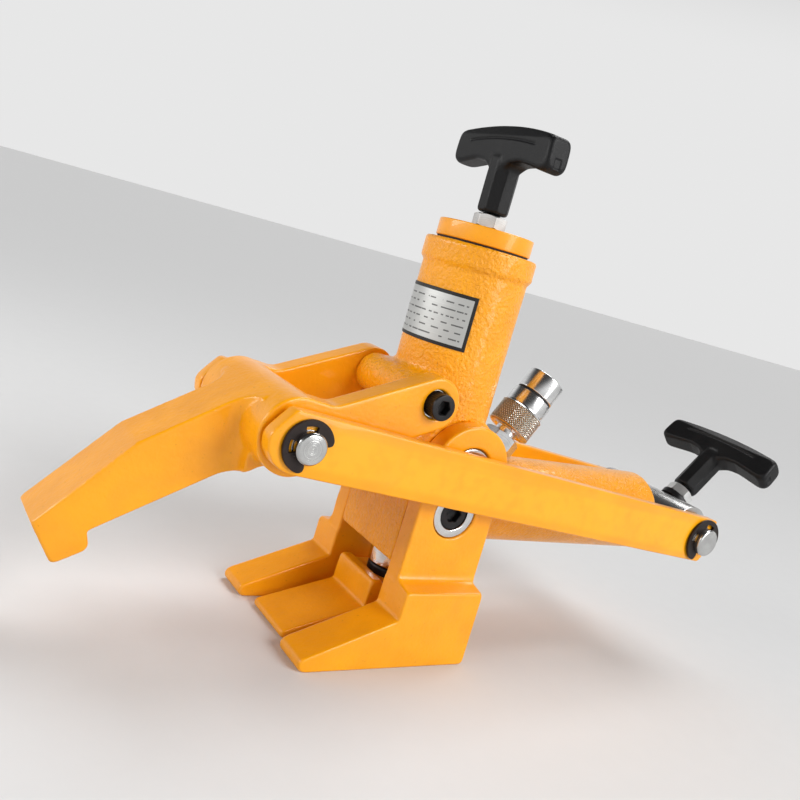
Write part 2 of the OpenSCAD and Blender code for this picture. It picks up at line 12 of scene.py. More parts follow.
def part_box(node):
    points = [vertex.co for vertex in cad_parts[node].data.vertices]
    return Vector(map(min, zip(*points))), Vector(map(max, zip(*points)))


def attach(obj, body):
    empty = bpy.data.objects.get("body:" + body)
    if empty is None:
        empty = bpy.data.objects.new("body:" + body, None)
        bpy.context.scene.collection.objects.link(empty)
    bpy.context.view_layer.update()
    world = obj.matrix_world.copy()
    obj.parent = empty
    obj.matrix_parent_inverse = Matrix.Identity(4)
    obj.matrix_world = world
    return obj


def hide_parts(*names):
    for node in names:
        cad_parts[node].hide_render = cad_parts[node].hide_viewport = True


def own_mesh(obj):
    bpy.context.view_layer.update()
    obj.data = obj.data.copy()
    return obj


bl_info = {
    "name": "Hydraulic bead breaker",
    "version": (1, 0, 0),
    "blender": (4, 5, 0),
    "location": "View3D > Sidebar > Bead breaker",
    "description": "Builds the castings, pins, grips and coupler of a hydraulic bead breaker",
    "category": "Object",
}

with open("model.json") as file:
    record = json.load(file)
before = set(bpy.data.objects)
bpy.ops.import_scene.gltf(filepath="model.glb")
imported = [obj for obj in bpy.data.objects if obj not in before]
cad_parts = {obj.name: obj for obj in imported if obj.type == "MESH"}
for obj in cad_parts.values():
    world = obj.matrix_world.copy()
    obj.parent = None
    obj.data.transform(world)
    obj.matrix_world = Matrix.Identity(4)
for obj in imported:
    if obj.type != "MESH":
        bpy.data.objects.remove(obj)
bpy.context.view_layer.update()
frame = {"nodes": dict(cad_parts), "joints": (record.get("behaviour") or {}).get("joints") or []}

MM = 0.001
SIDES = (-1, 1)
JOINTS = {joint["name"]: joint for joint in frame["joints"]}


def middle(node):
    """The middle of a node's box, in millimetres."""
    low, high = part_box(node)
    return (low + high) / (2 * MM)


def joint_place(name):
    """A joint's place in millimetres."""
    return Vector(JOINTS[name]["pos_m"]) / MM


# Places in millimetres, read from the frame
PIVOT = joint_place("jaw_clamp")
CROSSBAR = joint_place("side_links_swing")
JAW_PIN = middle("jaw_pin")
COUPLER_AXIS = Vector(JOINTS["coupler_collar_spin"]["axis"]).normalized()
COUPLER_BASE = joint_place("coupler_collar_spin") - 30 * COUPLER_AXIS
CLAMP_GRIP_FOOT = Vector((CROSSBAR.x, middle("clamp_grip_stud").y, CROSSBAR.z))
CLAMP_GRIP_AXIS = (middle("clamp_grip_stud") - CLAMP_GRIP_FOOT).normalized()
CLAMP_GRIP_TURN = math.radians(4)
TOP_GRIP_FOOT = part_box("top_grip")[0].z / MM
BOSS = Vector((4.5, 0, 124))
JAW_PIN_R = 9.0
CROSSBAR_PIN_R = 10.5
RING_GROOVE = 1.5
LOWER_FASTENER = Vector((3, 0, 96))


# ---- sizes and colours that a user would change ----


class BreakerCastings(bpy.types.PropertyGroup):
    """Cast and painted pieces."""

    paint: bpy.props.FloatVectorProperty(
        name="Paint", description="Colour of the enamel", default=(0.93, 0.37, 0.002), subtype="COLOR"
    )
    fillet: bpy.props.FloatProperty(
        name="Fillet", description="Radius of the cast inner corners", default=5 * MM, unit="LENGTH"
    )
    edge: bpy.props.FloatProperty(
        name="Edge", description="Radius of the cast outer edges", default=1.5 * MM, unit="LENGTH"
    )
    skin: bpy.props.FloatProperty(
        name="Skin", description="Height of the lumps in the cast skin", default=0.25 * MM, unit="LENGTH"
    )
    lump: bpy.props.FloatProperty(
        name="Lump", description="Width of a lump in the cast skin", default=3.6 * MM, unit="LENGTH"
    )
    link_edge: bpy.props.FloatProperty(
        name="Link edge", description="Radius of the side links' edges", default=1.3 * MM, unit="LENGTH"
    )


class BreakerHardware(bpy.types.PropertyGroup):
    """Turned, plated and blackened pieces."""

    thread_pitch: bpy.props.FloatProperty(
        name="Thread pitch", description="Pitch of the grips' studs", default=1.75 * MM, unit="LENGTH"
    )
    knurl_pitch: bpy.props.FloatProperty(
        name="Knurl pitch",
        description="Width of a diamond on the coupler's collar",
        default=2.0 * MM,
        unit="LENGTH",
    )
    knurl_depth: bpy.props.FloatProperty(
        name="Knurl depth",
        description="Depth of the grooves between the diamonds",
        default=0.7 * MM,
        unit="LENGTH",
    )


class BreakerGrips(bpy.types.PropertyGroup):
    """Moulded T grips."""

    colour: bpy.props.FloatVectorProperty(
        name="Plastic",
        description="Colour of the moulded plastic",
        default=(0.004, 0.004, 0.0045),
        subtype="COLOR",
    )
    edge: bpy.props.FloatProperty(
        name="Edge", description="Radius of the bar's moulded edges", default=4.0 * MM, unit="LENGTH"
    )
    stem_edge: bpy.props.FloatProperty(
        name="Stem edge",
        description="Radius of the eight-sided stem's edges",
        default=1.8 * MM,
        unit="LENGTH",
    )
    fillet: bpy.props.FloatProperty(
        name="Fillet", description="Radius between the bar and the stem", default=8 * MM, unit="LENGTH"
    )
    groove: bpy.props.FloatProperty(
        name="Groove",
        description="Depth of the moulding line along the bar",
        default=0.9 * MM,
        unit="LENGTH",
    )


class BreakerStage(bpy.types.PropertyGroup):
    """Floor, lights and camera."""

    camera_place: bpy.props.FloatVectorProperty(
        name="Camera place",
        description="Where the camera stands",
        default=(-0.3329, -0.4341, 0.2406),
        unit="LENGTH",
    )
    heading: bpy.props.FloatProperty(
        name="Heading",
        description="Turn of the view from +Y towards +X",
        default=math.radians(35.0),
        unit="ROTATION",
    )
    pitch: bpy.props.FloatProperty(
        name="Pitch",
        description="Tilt of the view above the horizon",
        default=math.radians(-9.37),
        unit="ROTATION",
    )
    roll: bpy.props.FloatProperty(
        name="Roll",
        description="Turn of the camera about its view",
        default=math.radians(15.76),
        unit="ROTATION",
    )
    lens: bpy.props.FloatProperty(name="Lens", description="Focal length", default=38.23, unit="CAMERA")
    key: bpy.props.FloatProperty(
        name="Key light",
        description="Strength of the large light at the front",
        default=1.65,
        subtype="UNSIGNED",
    )
    top: bpy.props.FloatProperty(
        name="Top light", description="Strength of the light overhead", default=1.5, subtype="UNSIGNED"
    )
    panel: bpy.props.FloatProperty(
        name="Panels", description="Power of the two upright panels", default=4.6, unit="POWER"
    )
    wall: bpy.props.FloatProperty(
        name="Wall", description="Brightness of the studio's walls", default=0.8, subtype="UNSIGNED"
    )
    ceiling: bpy.props.FloatProperty(
        name="Ceiling", description="Brightness of the studio's ceiling", default=0.05, subtype="UNSIGNED"
    )
    floor: bpy.props.FloatProperty(
        name="Floor", description="Paleness of the floor", default=0.66, subtype="FACTOR", min=0, max=1
    )


# ---- node helpers ----


def node(tree, kind, settings=None, **inputs):
    """Adds a node. Each keyword is an input's name, with _ for a space, or _0, _1 for its number."""
    made = tree.nodes.new(kind)
    for key, value in (settings or {}).items():
        setattr(made, key, value)
    for key, value in inputs.items():
        socket = made.inputs[int(key[1:])] if key[1:].isdigit() else made.inputs[key.replace("_", " ")]
        if isinstance(value, bpy.types.NodeSocket):
            tree.links.new(value, socket)
        else:
            socket.default_value = value
    return made


def calc(tree, operation, *values, clamp=False):
    """The output of a Math node."""
    numbered = {f"_{i}": value for i, value in enumerate(values)}
    return node(tree, "ShaderNodeMath", {"operation": operation, "use_clamp": clamp}, **numbered).outputs[0]


def remap(tree, value, low, high, to_low=0.0, to_high=1.0):
    """A value's place between low and high, as a smooth ramp."""
    settings = {"interpolation_type": "SMOOTHSTEP"}
    made = node(tree, "ShaderNodeMapRange", settings, Value=value, From_Min=low, From_Max=high)
    made.inputs["To Min"].default_value = to_low
    made.inputs["To Max"].default_value = to_high
    return made.outputs[0]


def new_group(name, kind, inputs, outputs):
    """A node group with its named inputs and outputs: (tree, the inputs' sockets, the outputs' sockets)."""
    tree = bpy.data.node_groups.new(name, kind)
    for label, socket_type, default in inputs:
        socket = tree.interface.new_socket(label, in_out="INPUT", socket_type=socket_type)
        if default is not None:
            socket.default_value = default
    for label, socket_type in outputs:
        tree.interface.new_socket(label, in_out="OUTPUT", socket_type=socket_type)
    return tree, tree.nodes.new("NodeGroupInput").outputs, tree.nodes.new("NodeGroupOutput").inputs


# ---- shader groups that several finishes share ----


def cast_grain_group():
    """Lumps of a sand cast skin under paint."""
    tree, given, wanted = new_group(
        "cast_grain",
        "ShaderNodeTree",
        [
            ("Vector", "NodeSocketVector", None),
            ("Width", "NodeSocketFloat", 0.003),
            ("Detail", "NodeSocketFloat", 2.0),
        ],
        [("Height", "NodeSocketFloat"), ("Tone", "NodeSocketFloat")],
    )
    scale = calc(tree, "DIVIDE", 1.0, given["Width"])
    wide = calc(tree, "MULTIPLY", scale, 0.11)
    vector = given["Vector"]
    lumps = node(tree, "ShaderNodeTexNoise", None, Vector=vector, Scale=scale, Detail=given["Detail"])
    drift = node(tree, "ShaderNodeTexNoise", None, Vector=vector, Scale=wide, Detail=2.0)
    tree.links.new(remap(tree, lumps.outputs["Fac"], 0.3, 0.72), wanted["Height"])
    tree.links.new(remap(tree, drift.outputs["Fac"], 0.3, 0.7), wanted["Tone"])
    return tree


def edge_shading_and_wear_group():
    """Masks for bright outer edges and dark inner corners, broken up by noise; on enamel they carry a
    painted highlight and painted shade, on blackened steel real wear.
    """
    tree, given, wanted = new_group(
        "edge_shading_and_wear",
        "ShaderNodeTree",
        [
            ("Vector", "NodeSocketVector", None),
            ("Start", "NodeSocketFloat", 0.53),
            ("Full", "NodeSocketFloat", 0.6),
        ],
        [("Edge", "NodeSocketFloat"), ("Corner", "NodeSocketFloat")],
    )
    bend = node(tree, "ShaderNodeNewGeometry").outputs["Pointiness"]
    edge = remap(tree, bend, given["Start"], given["Full"])
    corner = remap(tree, bend, 0.49, 0.44)
    patches = node(tree, "ShaderNodeTexNoise", None, Vector=given["Vector"], Scale=140.0, Detail=3.0)
    broken = calc(tree, "MULTIPLY", edge, remap(tree, patches.outputs["Fac"], 0.3, 0.6, 0.45, 1.0))
    tree.links.new(broken, wanted["Edge"])
    tree.links.new(corner, wanted["Corner"])
    return tree


def dust_group():
    """Faint smears and specks of workshop dirt."""
    tree, given, wanted = new_group(
        "workshop_dust",
        "ShaderNodeTree",
        [("Vector", "NodeSocketVector", None), ("Amount", "NodeSocketFloat", 0.3)],
        [("Smear", "NodeSocketFloat"), ("Speck", "NodeSocketFloat")],
    )
    vector = given["Vector"]
    smear = node(tree, "ShaderNodeTexNoise", None, Vector=vector, Scale=22.0, Detail=5.0, Distortion=0.6)
    speck = node(tree, "ShaderNodeTexNoise", None, Vector=vector, Scale=420.0, Detail=1.0)
    smears = calc(tree, "MULTIPLY", remap(tree, smear.outputs["Fac"], 0.5, 0.75), given["Amount"])
    specks = calc(tree, "MULTIPLY", remap(tree, speck.outputs["Fac"], 0.72, 0.78), given["Amount"])
    tree.links.new(smears, wanted["Smear"])
    tree.links.new(specks, wanted["Speck"])
    return tree


def turning_group():
    """Tool marks that run round an axis: rings on an end face and lines round a shank."""
    tree, given, wanted = new_group(
        "turning_marks",
        "ShaderNodeTree",
        [("Vector", "NodeSocketVector", None), ("Pitch", "NodeSocketFloat", 0.0005)],
        [("Height", "NodeSocketFloat"), ("Tone", "NodeSocketFloat")],
    )
    parts = node(tree, "ShaderNodeSeparateXYZ", None, Vector=given["Vector"]).outputs
    x_squared, y_squared = (calc(tree, "MULTIPLY", part, part) for part in parts[:2])
    radius = calc(tree, "SQRT", calc(tree, "ADD", x_squared, y_squared))
    across = calc(tree, "DIVIDE", calc(tree, "ADD", radius, parts[2]), given["Pitch"])
    along = node(tree, "ShaderNodeCombineXYZ", None, X=across)
    marks = node(tree, "ShaderNodeTexNoise", None, Vector=along.outputs[0], Scale=1.0, Detail=2.0)
    drift = node(tree, "ShaderNodeTexNoise", None, Vector=given["Vector"], Scale=90.0, Detail=3.0)
    tree.links.new(marks.outputs["Fac"], wanted["Height"])
    both = calc(tree, "MULTIPLY", marks.outputs["Fac"], drift.outputs["Fac"])
    tree.links.new(remap(tree, both, 0.12, 0.4), wanted["Tone"])
    return tree


SHADER_GROUPS = {
    "cast_grain": cast_grain_group,
    "edge_shading_and_wear": edge_shading_and_wear_group,
    "workshop_dust": dust_group,
    "turning_marks": turning_group,
}


def use_group(tree, name, **inputs):
    """A shared shader group placed in a material, with its own values."""
    shared = bpy.data.node_groups.get(name) or SHADER_GROUPS[name]()
    return node(tree, "ShaderNodeGroup", {"node_tree": shared}, **inputs).outputs


# ---- finishes ----


def start_finish(name, **shader_values):
    """A material with a Principled shader: (material, tree, shader, Object coordinates)."""
    material = bpy.data.materials.new(name)
    material.use_nodes = True
    tree = material.node_tree
    shader = tree.nodes["Principled BSDF"]
    for key, value in shader_values.items():
        shader.inputs[key.replace("_", " ")].default_value = value
    return material, tree, shader, node(tree, "ShaderNodeTexCoord").outputs["Object"]


def blend_colour(tree, share, first, second):
    """A colour between two, by a share that changes over the surface."""
    mix = node(tree, "ShaderNodeMix", {"data_type": "RGBA"}, _0=share)
    for index, value in ((6, first), (7, second)):
        if isinstance(value, bpy.types.NodeSocket):
            tree.links.new(value, mix.inputs[index])
        else:
            mix.inputs[index].default_value = (*value, 1.0)
    return mix.outputs[2]


def bump(tree, shader, height, distance, strength=1.0):
    """Height, from 0 to 1, as a bump of that distance in metres."""
    made = node(tree, "ShaderNodeBump", None, Height=height, Distance=distance, Strength=strength)
    tree.links.new(made.outputs[0], shader.inputs["Normal"])


def shade(colour, factor):
    return tuple(channel * factor for channel in colour)


def enamel(name, grain_height, grain_width, detail=2.0, highlight_start=0.53, highlight_full=0.6):
    """Glossy enamel on a casting or plate, with a grain of that height and width in metres, a painted
    highlight along its outer edges and painted shade in its inner corners.
    """
    paint = tuple(bpy.context.scene.breaker_castings.paint)
    material, tree, shader, place = start_finish(name, Coat_Weight=0.3, Coat_Roughness=0.05, IOR=1.4)
    grain = use_group(tree, "cast_grain", Vector=place, Width=grain_width, Detail=detail)
    shading_and_wear = use_group(tree, "edge_shading_and_wear", Vector=place, Start=highlight_start, Full=highlight_full)
    dust = use_group(tree, "workshop_dust", Vector=place, Amount=0.16)
    # colour of the painted highlight on the outer edges
    edge_highlight_paint = (min(1.0, paint[0] * 1.06), paint[1] * 1.25, paint[2] * 4.0)
    colour = blend_colour(tree, grain["Tone"], (paint[0] * 0.93, paint[1] * 0.9, paint[2]), paint)
    # painted highlight: lighter, yellower paint along the outer edges, where the light catches them
    colour = blend_colour(tree, calc(tree, "MULTIPLY", shading_and_wear["Edge"], 0.75), colour, edge_highlight_paint)
    # painted shade: darker brown paint in the inner corners and creases
    colour = blend_colour(tree, calc(tree, "MULTIPLY", shading_and_wear["Corner"], 0.45), colour, (0.36, 0.105, 0.006))
    colour = blend_colour(tree, dust["Smear"], colour, (0.52, 0.19, 0.02))
    colour = blend_colour(tree, dust["Speck"], colour, (0.08, 0.035, 0.01))
    tree.links.new(colour, shader.inputs["Base Color"])
    rough = calc(tree, "MULTIPLY_ADD", dust["Smear"], 0.5, 0.33)
    tree.links.new(rough, shader.inputs["Roughness"])
    bump(tree, shader, grain["Height"], grain_height)
    return material


def bare_metal(
    name, colour, roughness, axis=(0, 0, 1), centre=(0, 0, 0), pitch=0.0005, mark=0.00002, tarnish=0.2
):
    """Turned and plated metal, with tool marks round the axis through centre, in millimetres."""
    material, tree, shader, place = start_finish(name, Metallic=1.0)
    turn = Vector(axis).rotation_difference(Vector((0, 0, 1))).to_matrix()
    mapping = node(tree, "ShaderNodeMapping", None, Vector=place)
    mapping.inputs["Location"].default_value = -(turn @ (Vector(centre) * MM))
    mapping.inputs["Rotation"].default_value = turn.to_euler()
    marks = use_group(tree, "turning_marks", Vector=mapping.outputs[0], Pitch=pitch)
    dust = use_group(tree, "workshop_dust", Vector=place, Amount=tarnish)
    tone = blend_colour(tree, marks["Tone"], shade(colour, 0.72), colour)
    tone = blend_colour(tree, dust["Smear"], tone, (0.20, 0.17, 0.13))
    tree.links.new(tone, shader.inputs["Base Color"])
    rough = calc(tree, "MULTIPLY_ADD", dust["Smear"], 0.6, roughness)
    tree.links.new(rough, shader.inputs["Roughness"])
    bump(tree, shader, marks["Height"], mark)
    return material


def knurled_zinc(name):
    """Plated knurling with old grease between its diamonds."""
    material, tree, shader, place = start_finish(name, Metallic=1.0, Roughness=0.3)
    shading_and_wear = use_group(tree, "edge_shading_and_wear", Vector=place, Start=0.5, Full=0.56)
    dust = use_group(tree, "workshop_dust", Vector=place, Amount=0.5)
    tone = blend_colour(tree, shading_and_wear["Edge"], (0.36, 0.34, 0.29), (0.83, 0.81, 0.75))
    tone = blend_colour(tree, shading_and_wear["Corner"], tone, (0.11, 0.095, 0.07))
    tone = blend_colour(tree, dust["Smear"], tone, (0.25, 0.22, 0.16))
    tree.links.new(tone, shader.inputs["Base Color"])
    return material


def blackened(name, colour, roughness, brown=(0.05, 0.032, 0.024)):
    """Black oxide on steel, worn brown on its edges."""
    material, tree, shader, place = start_finish(name, Metallic=0.55)
    grain = use_group(tree, "cast_grain", Vector=place, Width=0.0006, Detail=3.0)
    shading_and_wear = use_group(tree, "edge_shading_and_wear", Vector=place, Start=0.53, Full=0.62)
    tone = blend_colour(tree, grain["Tone"], shade(colour, 0.7), colour)
    tone = blend_colour(tree, calc(tree, "MULTIPLY", shading_and_wear["Edge"], 0.5), tone, brown)
    tree.links.new(tone, shader.inputs["Base Color"])
    tree.links.new(calc(tree, "MULTIPLY_ADD", grain["Tone"], 0.1, roughness), shader.inputs["Roughness"])
    bump(tree, shader, grain["Height"], 0.00002)
    return material


def moulded(name, colour, grain_width, grain_height, roughness):
    """Moulded plastic or rubber with a fine spark grain."""
    material, tree, shader, place = start_finish(name, IOR=1.5, Specular_IOR_Level=0.25)
    grain = use_group(tree, "cast_grain", Vector=place, Width=grain_width, Detail=2.0)
    shading_and_wear = use_group(tree, "edge_shading_and_wear", Vector=place, Start=0.53, Full=0.62)
    dust = use_group(tree, "workshop_dust", Vector=place, Amount=0.35)
    tone = blend_colour(tree, grain["Height"], shade(colour, 0.8), shade(colour, 1.15))
    tone = blend_colour(tree, calc(tree, "MULTIPLY", shading_and_wear["Edge"], 0.5), tone, shade(colour, 3.0))
    tone = blend_colour(tree, calc(tree, "MULTIPLY", dust["Smear"], 0.2), tone, (0.10, 0.095, 0.09))
    tree.links.new(tone, shader.inputs["Base Color"])
    rough = calc(tree, "MULTIPLY_ADD", grain["Height"], 0.12, roughness)
    tree.links.new(rough, shader.inputs["Roughness"])
    bump(tree, shader, grain["Height"], grain_height)
    return material


def brushed_plate(name):
    """Brushed foil plate with a printed black border and rows of plain dashes."""
    low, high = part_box("name_plate")
    radius = max(abs(low.x), abs(high.x))
    half_angle = math.atan2(high.y, -high.x)
    material, tree, shader, place = start_finish(name)
    parts = node(tree, "ShaderNodeSeparateXYZ", None, Vector=place).outputs
    angle = calc(tree, "ARCTAN2", parts[1], calc(tree, "MULTIPLY", parts[0], -1.0))
    across = calc(tree, "MULTIPLY", angle, radius)
    side = calc(tree, "SUBTRACT", half_angle * radius, calc(tree, "ABSOLUTE", across))
    upper = calc(tree, "SUBTRACT", high.z, parts[2])
    lower = calc(tree, "SUBTRACT", parts[2], low.z)
    edge = calc(tree, "MINIMUM", side, calc(tree, "MINIMUM", upper, lower))
    border = calc(tree, "LESS_THAN", edge, 2.2 * MM)
    row_pitch = 4.3 * MM
    row = calc(tree, "DIVIDE", upper, row_pitch)
    level = calc(tree, "ABSOLUTE", calc(tree, "SUBTRACT", calc(tree, "FRACT", row), 0.5))
    ruled = calc(tree, "LESS_THAN", level, 0.1)
    dash = node(tree, "ShaderNodeCombineXYZ", None, X=calc(tree, "DIVIDE", across, 3.4 * MM))
    tree.links.new(calc(tree, "MULTIPLY", calc(tree, "FLOOR", row), 7.3), dash.inputs["Y"])
    breaks = node(tree, "ShaderNodeTexNoise", None, Vector=dash.outputs[0], Scale=1.0, Detail=1.0)
    words = calc(tree, "GREATER_THAN", breaks.outputs["Fac"], 0.46)
    inside = calc(tree, "GREATER_THAN", edge, 4.6 * MM)
    line = calc(tree, "MULTIPLY", calc(tree, "MULTIPLY", ruled, inside), calc(tree, "MULTIPLY", words, 0.75))
    streak = node(tree, "ShaderNodeCombineXYZ", None, X=calc(tree, "MULTIPLY", across, 30.0))
    tree.links.new(calc(tree, "MULTIPLY", parts[2], 6000.0), streak.inputs["Z"])
    brush = node(tree, "ShaderNodeTexNoise", None, Vector=streak.outputs[0], Scale=1.0, Detail=2.0)
    foil = blend_colour(tree, brush.outputs["Fac"], (0.50, 0.50, 0.48), (0.72, 0.72, 0.70))
    foil = blend_colour(tree, line, foil, (0.02, 0.02, 0.02))
    tree.links.new(blend_colour(tree, border, foil, (0.003, 0.003, 0.003)), shader.inputs["Base Color"])
    tree.links.new(calc(tree, "SUBTRACT", 1.0, border), shader.inputs["Metallic"])
    tree.links.new(calc(tree, "MULTIPLY_ADD", border, 0.1, 0.34), shader.inputs["Roughness"])
    bump(tree, shader, brush.outputs["Fac"], 0.000008)
    return material


def floor_finish(name, paleness):
    """Pale studio paper."""
    material, tree, shader, place = start_finish(name, Roughness=0.9)
    paper = node(tree, "ShaderNodeTexNoise", None, Vector=place, Scale=60.0, Detail=3.0)
    tone = blend_colour(tree, paper.outputs["Fac"], (paleness - 0.01,) * 3, (paleness + 0.01,) * 3)
    tree.links.new(tone, shader.inputs["Base Color"])
    return material


def finish_recipes():
    """Every finish by its name."""
    silver = (0.78, 0.78, 0.77)
    across = (0, 1, 0)
    black = (0.018, 0.017, 0.018)
    castings = bpy.context.scene.breaker_castings
    grips = bpy.context.scene.breaker_grips
    return {
        "enamel_rough": lambda name: enamel(name, 0.0005, castings.lump * 0.62, 2.0),
        "enamel_cast": lambda name: enamel(name, 0.00009, castings.lump * 0.7),
        "enamel_smooth": lambda name: enamel(name, 0.00004, castings.lump),
        "zinc": lambda name: bare_metal(name, (0.76, 0.76, 0.75), 0.46, tarnish=0.3),
        "jaw_pin_steel": lambda name: bare_metal(
            name, (0.62, 0.62, 0.61), 0.17, across, JAW_PIN, 0.0007, 0.00014, 0.25
        ),
        "crossbar_steel": lambda name: bare_metal(
            name, (0.66, 0.66, 0.65), 0.26, across, CROSSBAR, 0.0006, 0.00004
        ),
        "sleeve_steel": lambda name: bare_metal(name, silver, 0.16, across, PIVOT),
        "dowel_steel": lambda name: bare_metal(name, silver, 0.2, across, LOWER_FASTENER, tarnish=0.45),
        "rod_chrome": lambda name: bare_metal(name, (0.86, 0.87, 0.88), 0.1, mark=0.000006),
        "clamp_rod_chrome": lambda name: bare_metal(
            name, (0.86, 0.87, 0.88), 0.1, (1, 0, 0), CROSSBAR, mark=0.000006
        ),
        "coupler_chrome": lambda name: bare_metal(
            name, (0.84, 0.84, 0.84), 0.2, COUPLER_AXIS, COUPLER_BASE, 0.0004, 0.00001, 0.12
        ),
        "knurled_zinc": knurled_zinc,
        "black_oxide": lambda name: blackened(name, black, 0.34),
        "ring_black": lambda name: blackened(name, (0.02, 0.013, 0.012), 0.38),
        "grip_plastic": lambda name: moulded(name, tuple(grips.colour), 0.0007, 0.00005, 0.4),
        "rubber": lambda name: moulded(name, (0.01, 0.01, 0.01), 0.0009, 0.00004, 0.6),
        "bronze": lambda name: bare_metal(name, (0.55, 0.35, 0.14), 0.3),
        "spring_steel": lambda name: bare_metal(name, (0.42, 0.42, 0.43), 0.35),
        "plate_foil": brushed_plate,
    }


def finish(name):
    """A finish, made when it is first asked for."""
    return bpy.data.materials.get(name) or finish_recipes()[name](name)


# ---- geometry node trees for what repeats or follows a surface ----


def close_tree(tree, wanted, geometry, material):
    """Ends a tree in Realize Instances and Set Material."""
    real = node(tree, "GeometryNodeRealizeInstances", None, Geometry=geometry)
    coated = node(tree, "GeometryNodeSetMaterial", None, Geometry=real.outputs[0], Material=material)
    tree.links.new(coated.outputs[0], wanted["Geometry"])


def copies_tree():
    """Sets one piece on each point of a mesh, its own Z turned to the point's facing."""
    tree, given, wanted = new_group(
        "set_copies",
        "GeometryNodeTree",
        [
            ("Geometry", "NodeSocketGeometry", None),
            ("Piece", "NodeSocketObject", None),
            ("Material", "NodeSocketMaterial", None),
        ],
        [("Geometry", "NodeSocketGeometry")],
    )
    piece = node(tree, "GeometryNodeObjectInfo", None, Object=given["Piece"])
    facing = node(tree, "GeometryNodeInputNamedAttribute", {"data_type": "FLOAT_VECTOR"}, Name="facing")
    turn = node(tree, "FunctionNodeAlignRotationToVector", {"axis": "Z"}, Vector=facing.outputs[0])
    spread = node(
        tree,
        "GeometryNodeInstanceOnPoints",
        None,
        Points=given["Geometry"],
        Instance=piece.outputs["Geometry"],
        Rotation=turn.outputs[0],
    )
    close_tree(tree, wanted, spread.outputs[0], given["Material"])
    return tree


def coil_tree():
    """A coil spring along Z from the origin, with closed wire ends."""
    tree, given, wanted = new_group(
        "wind_spring",
        "GeometryNodeTree",
        [
            ("Geometry", "NodeSocketGeometry", None),
            ("Radius", "NodeSocketFloat", 0.02),
            ("Wire", "NodeSocketFloat", 0.002),
            ("Length", "NodeSocketFloat", 0.1),
            ("Turns", "NodeSocketFloat", 6.0),
            ("Material", "NodeSocketMaterial", None),
        ],
        [("Geometry", "NodeSocketGeometry")],
    )
    rise = calc(tree, "SUBTRACT", given["Length"], calc(tree, "MULTIPLY", given["Wire"], 2.0))
    turns = given["Turns"]
    spiral = node(tree, "GeometryNodeCurveSpiral", None, Resolution=36, Rotations=turns, Height=rise)
    tree.links.new(given["Radius"], spiral.inputs["Start Radius"])
    tree.links.new(given["Radius"], spiral.inputs["End Radius"])
    section = node(tree, "GeometryNodeCurvePrimitiveCircle", None, Resolution=12, Radius=given["Wire"])
    path, profile = spiral.outputs[0], section.outputs[0]
    wire = node(tree, "GeometryNodeCurveToMesh", None, Curve=path, Profile_Curve=profile, Fill_Caps=True)
    lift = node(tree, "ShaderNodeCombineXYZ", None, Z=given["Wire"])
    lifted = node(tree, "GeometryNodeTransform", None, Geometry=wire.outputs[0], Translation=lift.outputs[0])
    close_tree(tree, wanted, lifted.outputs[0], given["Material"])
    return tree


def knurl_tree():
    """Presses a diamond knurl into the band of a blank turned about Z."""
    tree, given, wanted = new_group(
        "press_knurl",
        "GeometryNodeTree",
        [
            ("Geometry", "NodeSocketGeometry", None),
            ("Diamonds", "NodeSocketFloat", 64.0),
            ("Pitch", "NodeSocketFloat", 0.0015),
            ("Depth", "NodeSocketFloat", 0.0005),
            ("Low", "NodeSocketFloat", 0.0),
            ("High", "NodeSocketFloat", 0.02),
            ("Radius", "NodeSocketFloat", 0.016),
            ("Material", "NodeSocketMaterial", None),
        ],
        [("Geometry", "NodeSocketGeometry")],
    )
    place = node(tree, "GeometryNodeInputPosition").outputs[0]
    parts = node(tree, "ShaderNodeSeparateXYZ", None, Vector=place).outputs
    round_share = calc(tree, "DIVIDE", calc(tree, "ARCTAN2", parts[1], parts[0]), math.tau)
    around = calc(tree, "MULTIPLY", round_share, given["Diamonds"])
    up = calc(tree, "DIVIDE", parts[2], given["Pitch"])
    ridge_a = calc(tree, "PINGPONG", calc(tree, "ADD", around, up), 0.5)
    ridge_b = calc(tree, "PINGPONG", calc(tree, "SUBTRACT", around, up), 0.5)
    ridge = calc(tree, "MULTIPLY", calc(tree, "MINIMUM", ridge_a, ridge_b), 2.0)
    valley = calc(tree, "SUBTRACT", 1.0, ridge)
    cut = calc(tree, "POWER", valley, 0.8)
    in_band = calc(
        tree,
        "MULTIPLY",
        calc(tree, "GREATER_THAN", parts[2], given["Low"]),
        calc(tree, "LESS_THAN", parts[2], given["High"]),
    )
    flat = node(tree, "ShaderNodeCombineXYZ", None, X=parts[0], Y=parts[1]).outputs[0]
    reach = node(tree, "ShaderNodeVectorMath", {"operation": "LENGTH"}, _0=flat).outputs["Value"]
    outside = calc(tree, "GREATER_THAN", reach, calc(tree, "SUBTRACT", given["Radius"], 0.0001))
    amount = calc(tree, "MULTIPLY", calc(tree, "MULTIPLY", in_band, outside), cut)
    depth = calc(tree, "MULTIPLY", calc(tree, "MULTIPLY", amount, given["Depth"]), -1.0)
    outward = node(tree, "ShaderNodeVectorMath", {"operation": "NORMALIZE"}, _0=flat).outputs[0]
    shift = node(tree, "ShaderNodeVectorMath", {"operation": "SCALE"}, _0=outward, Scale=depth).outputs[0]
    moved = node(tree, "GeometryNodeSetPosition", None, Geometry=given["Geometry"], Offset=shift)
    close_tree(tree, wanted, moved.outputs[0], given["Material"])
    return tree


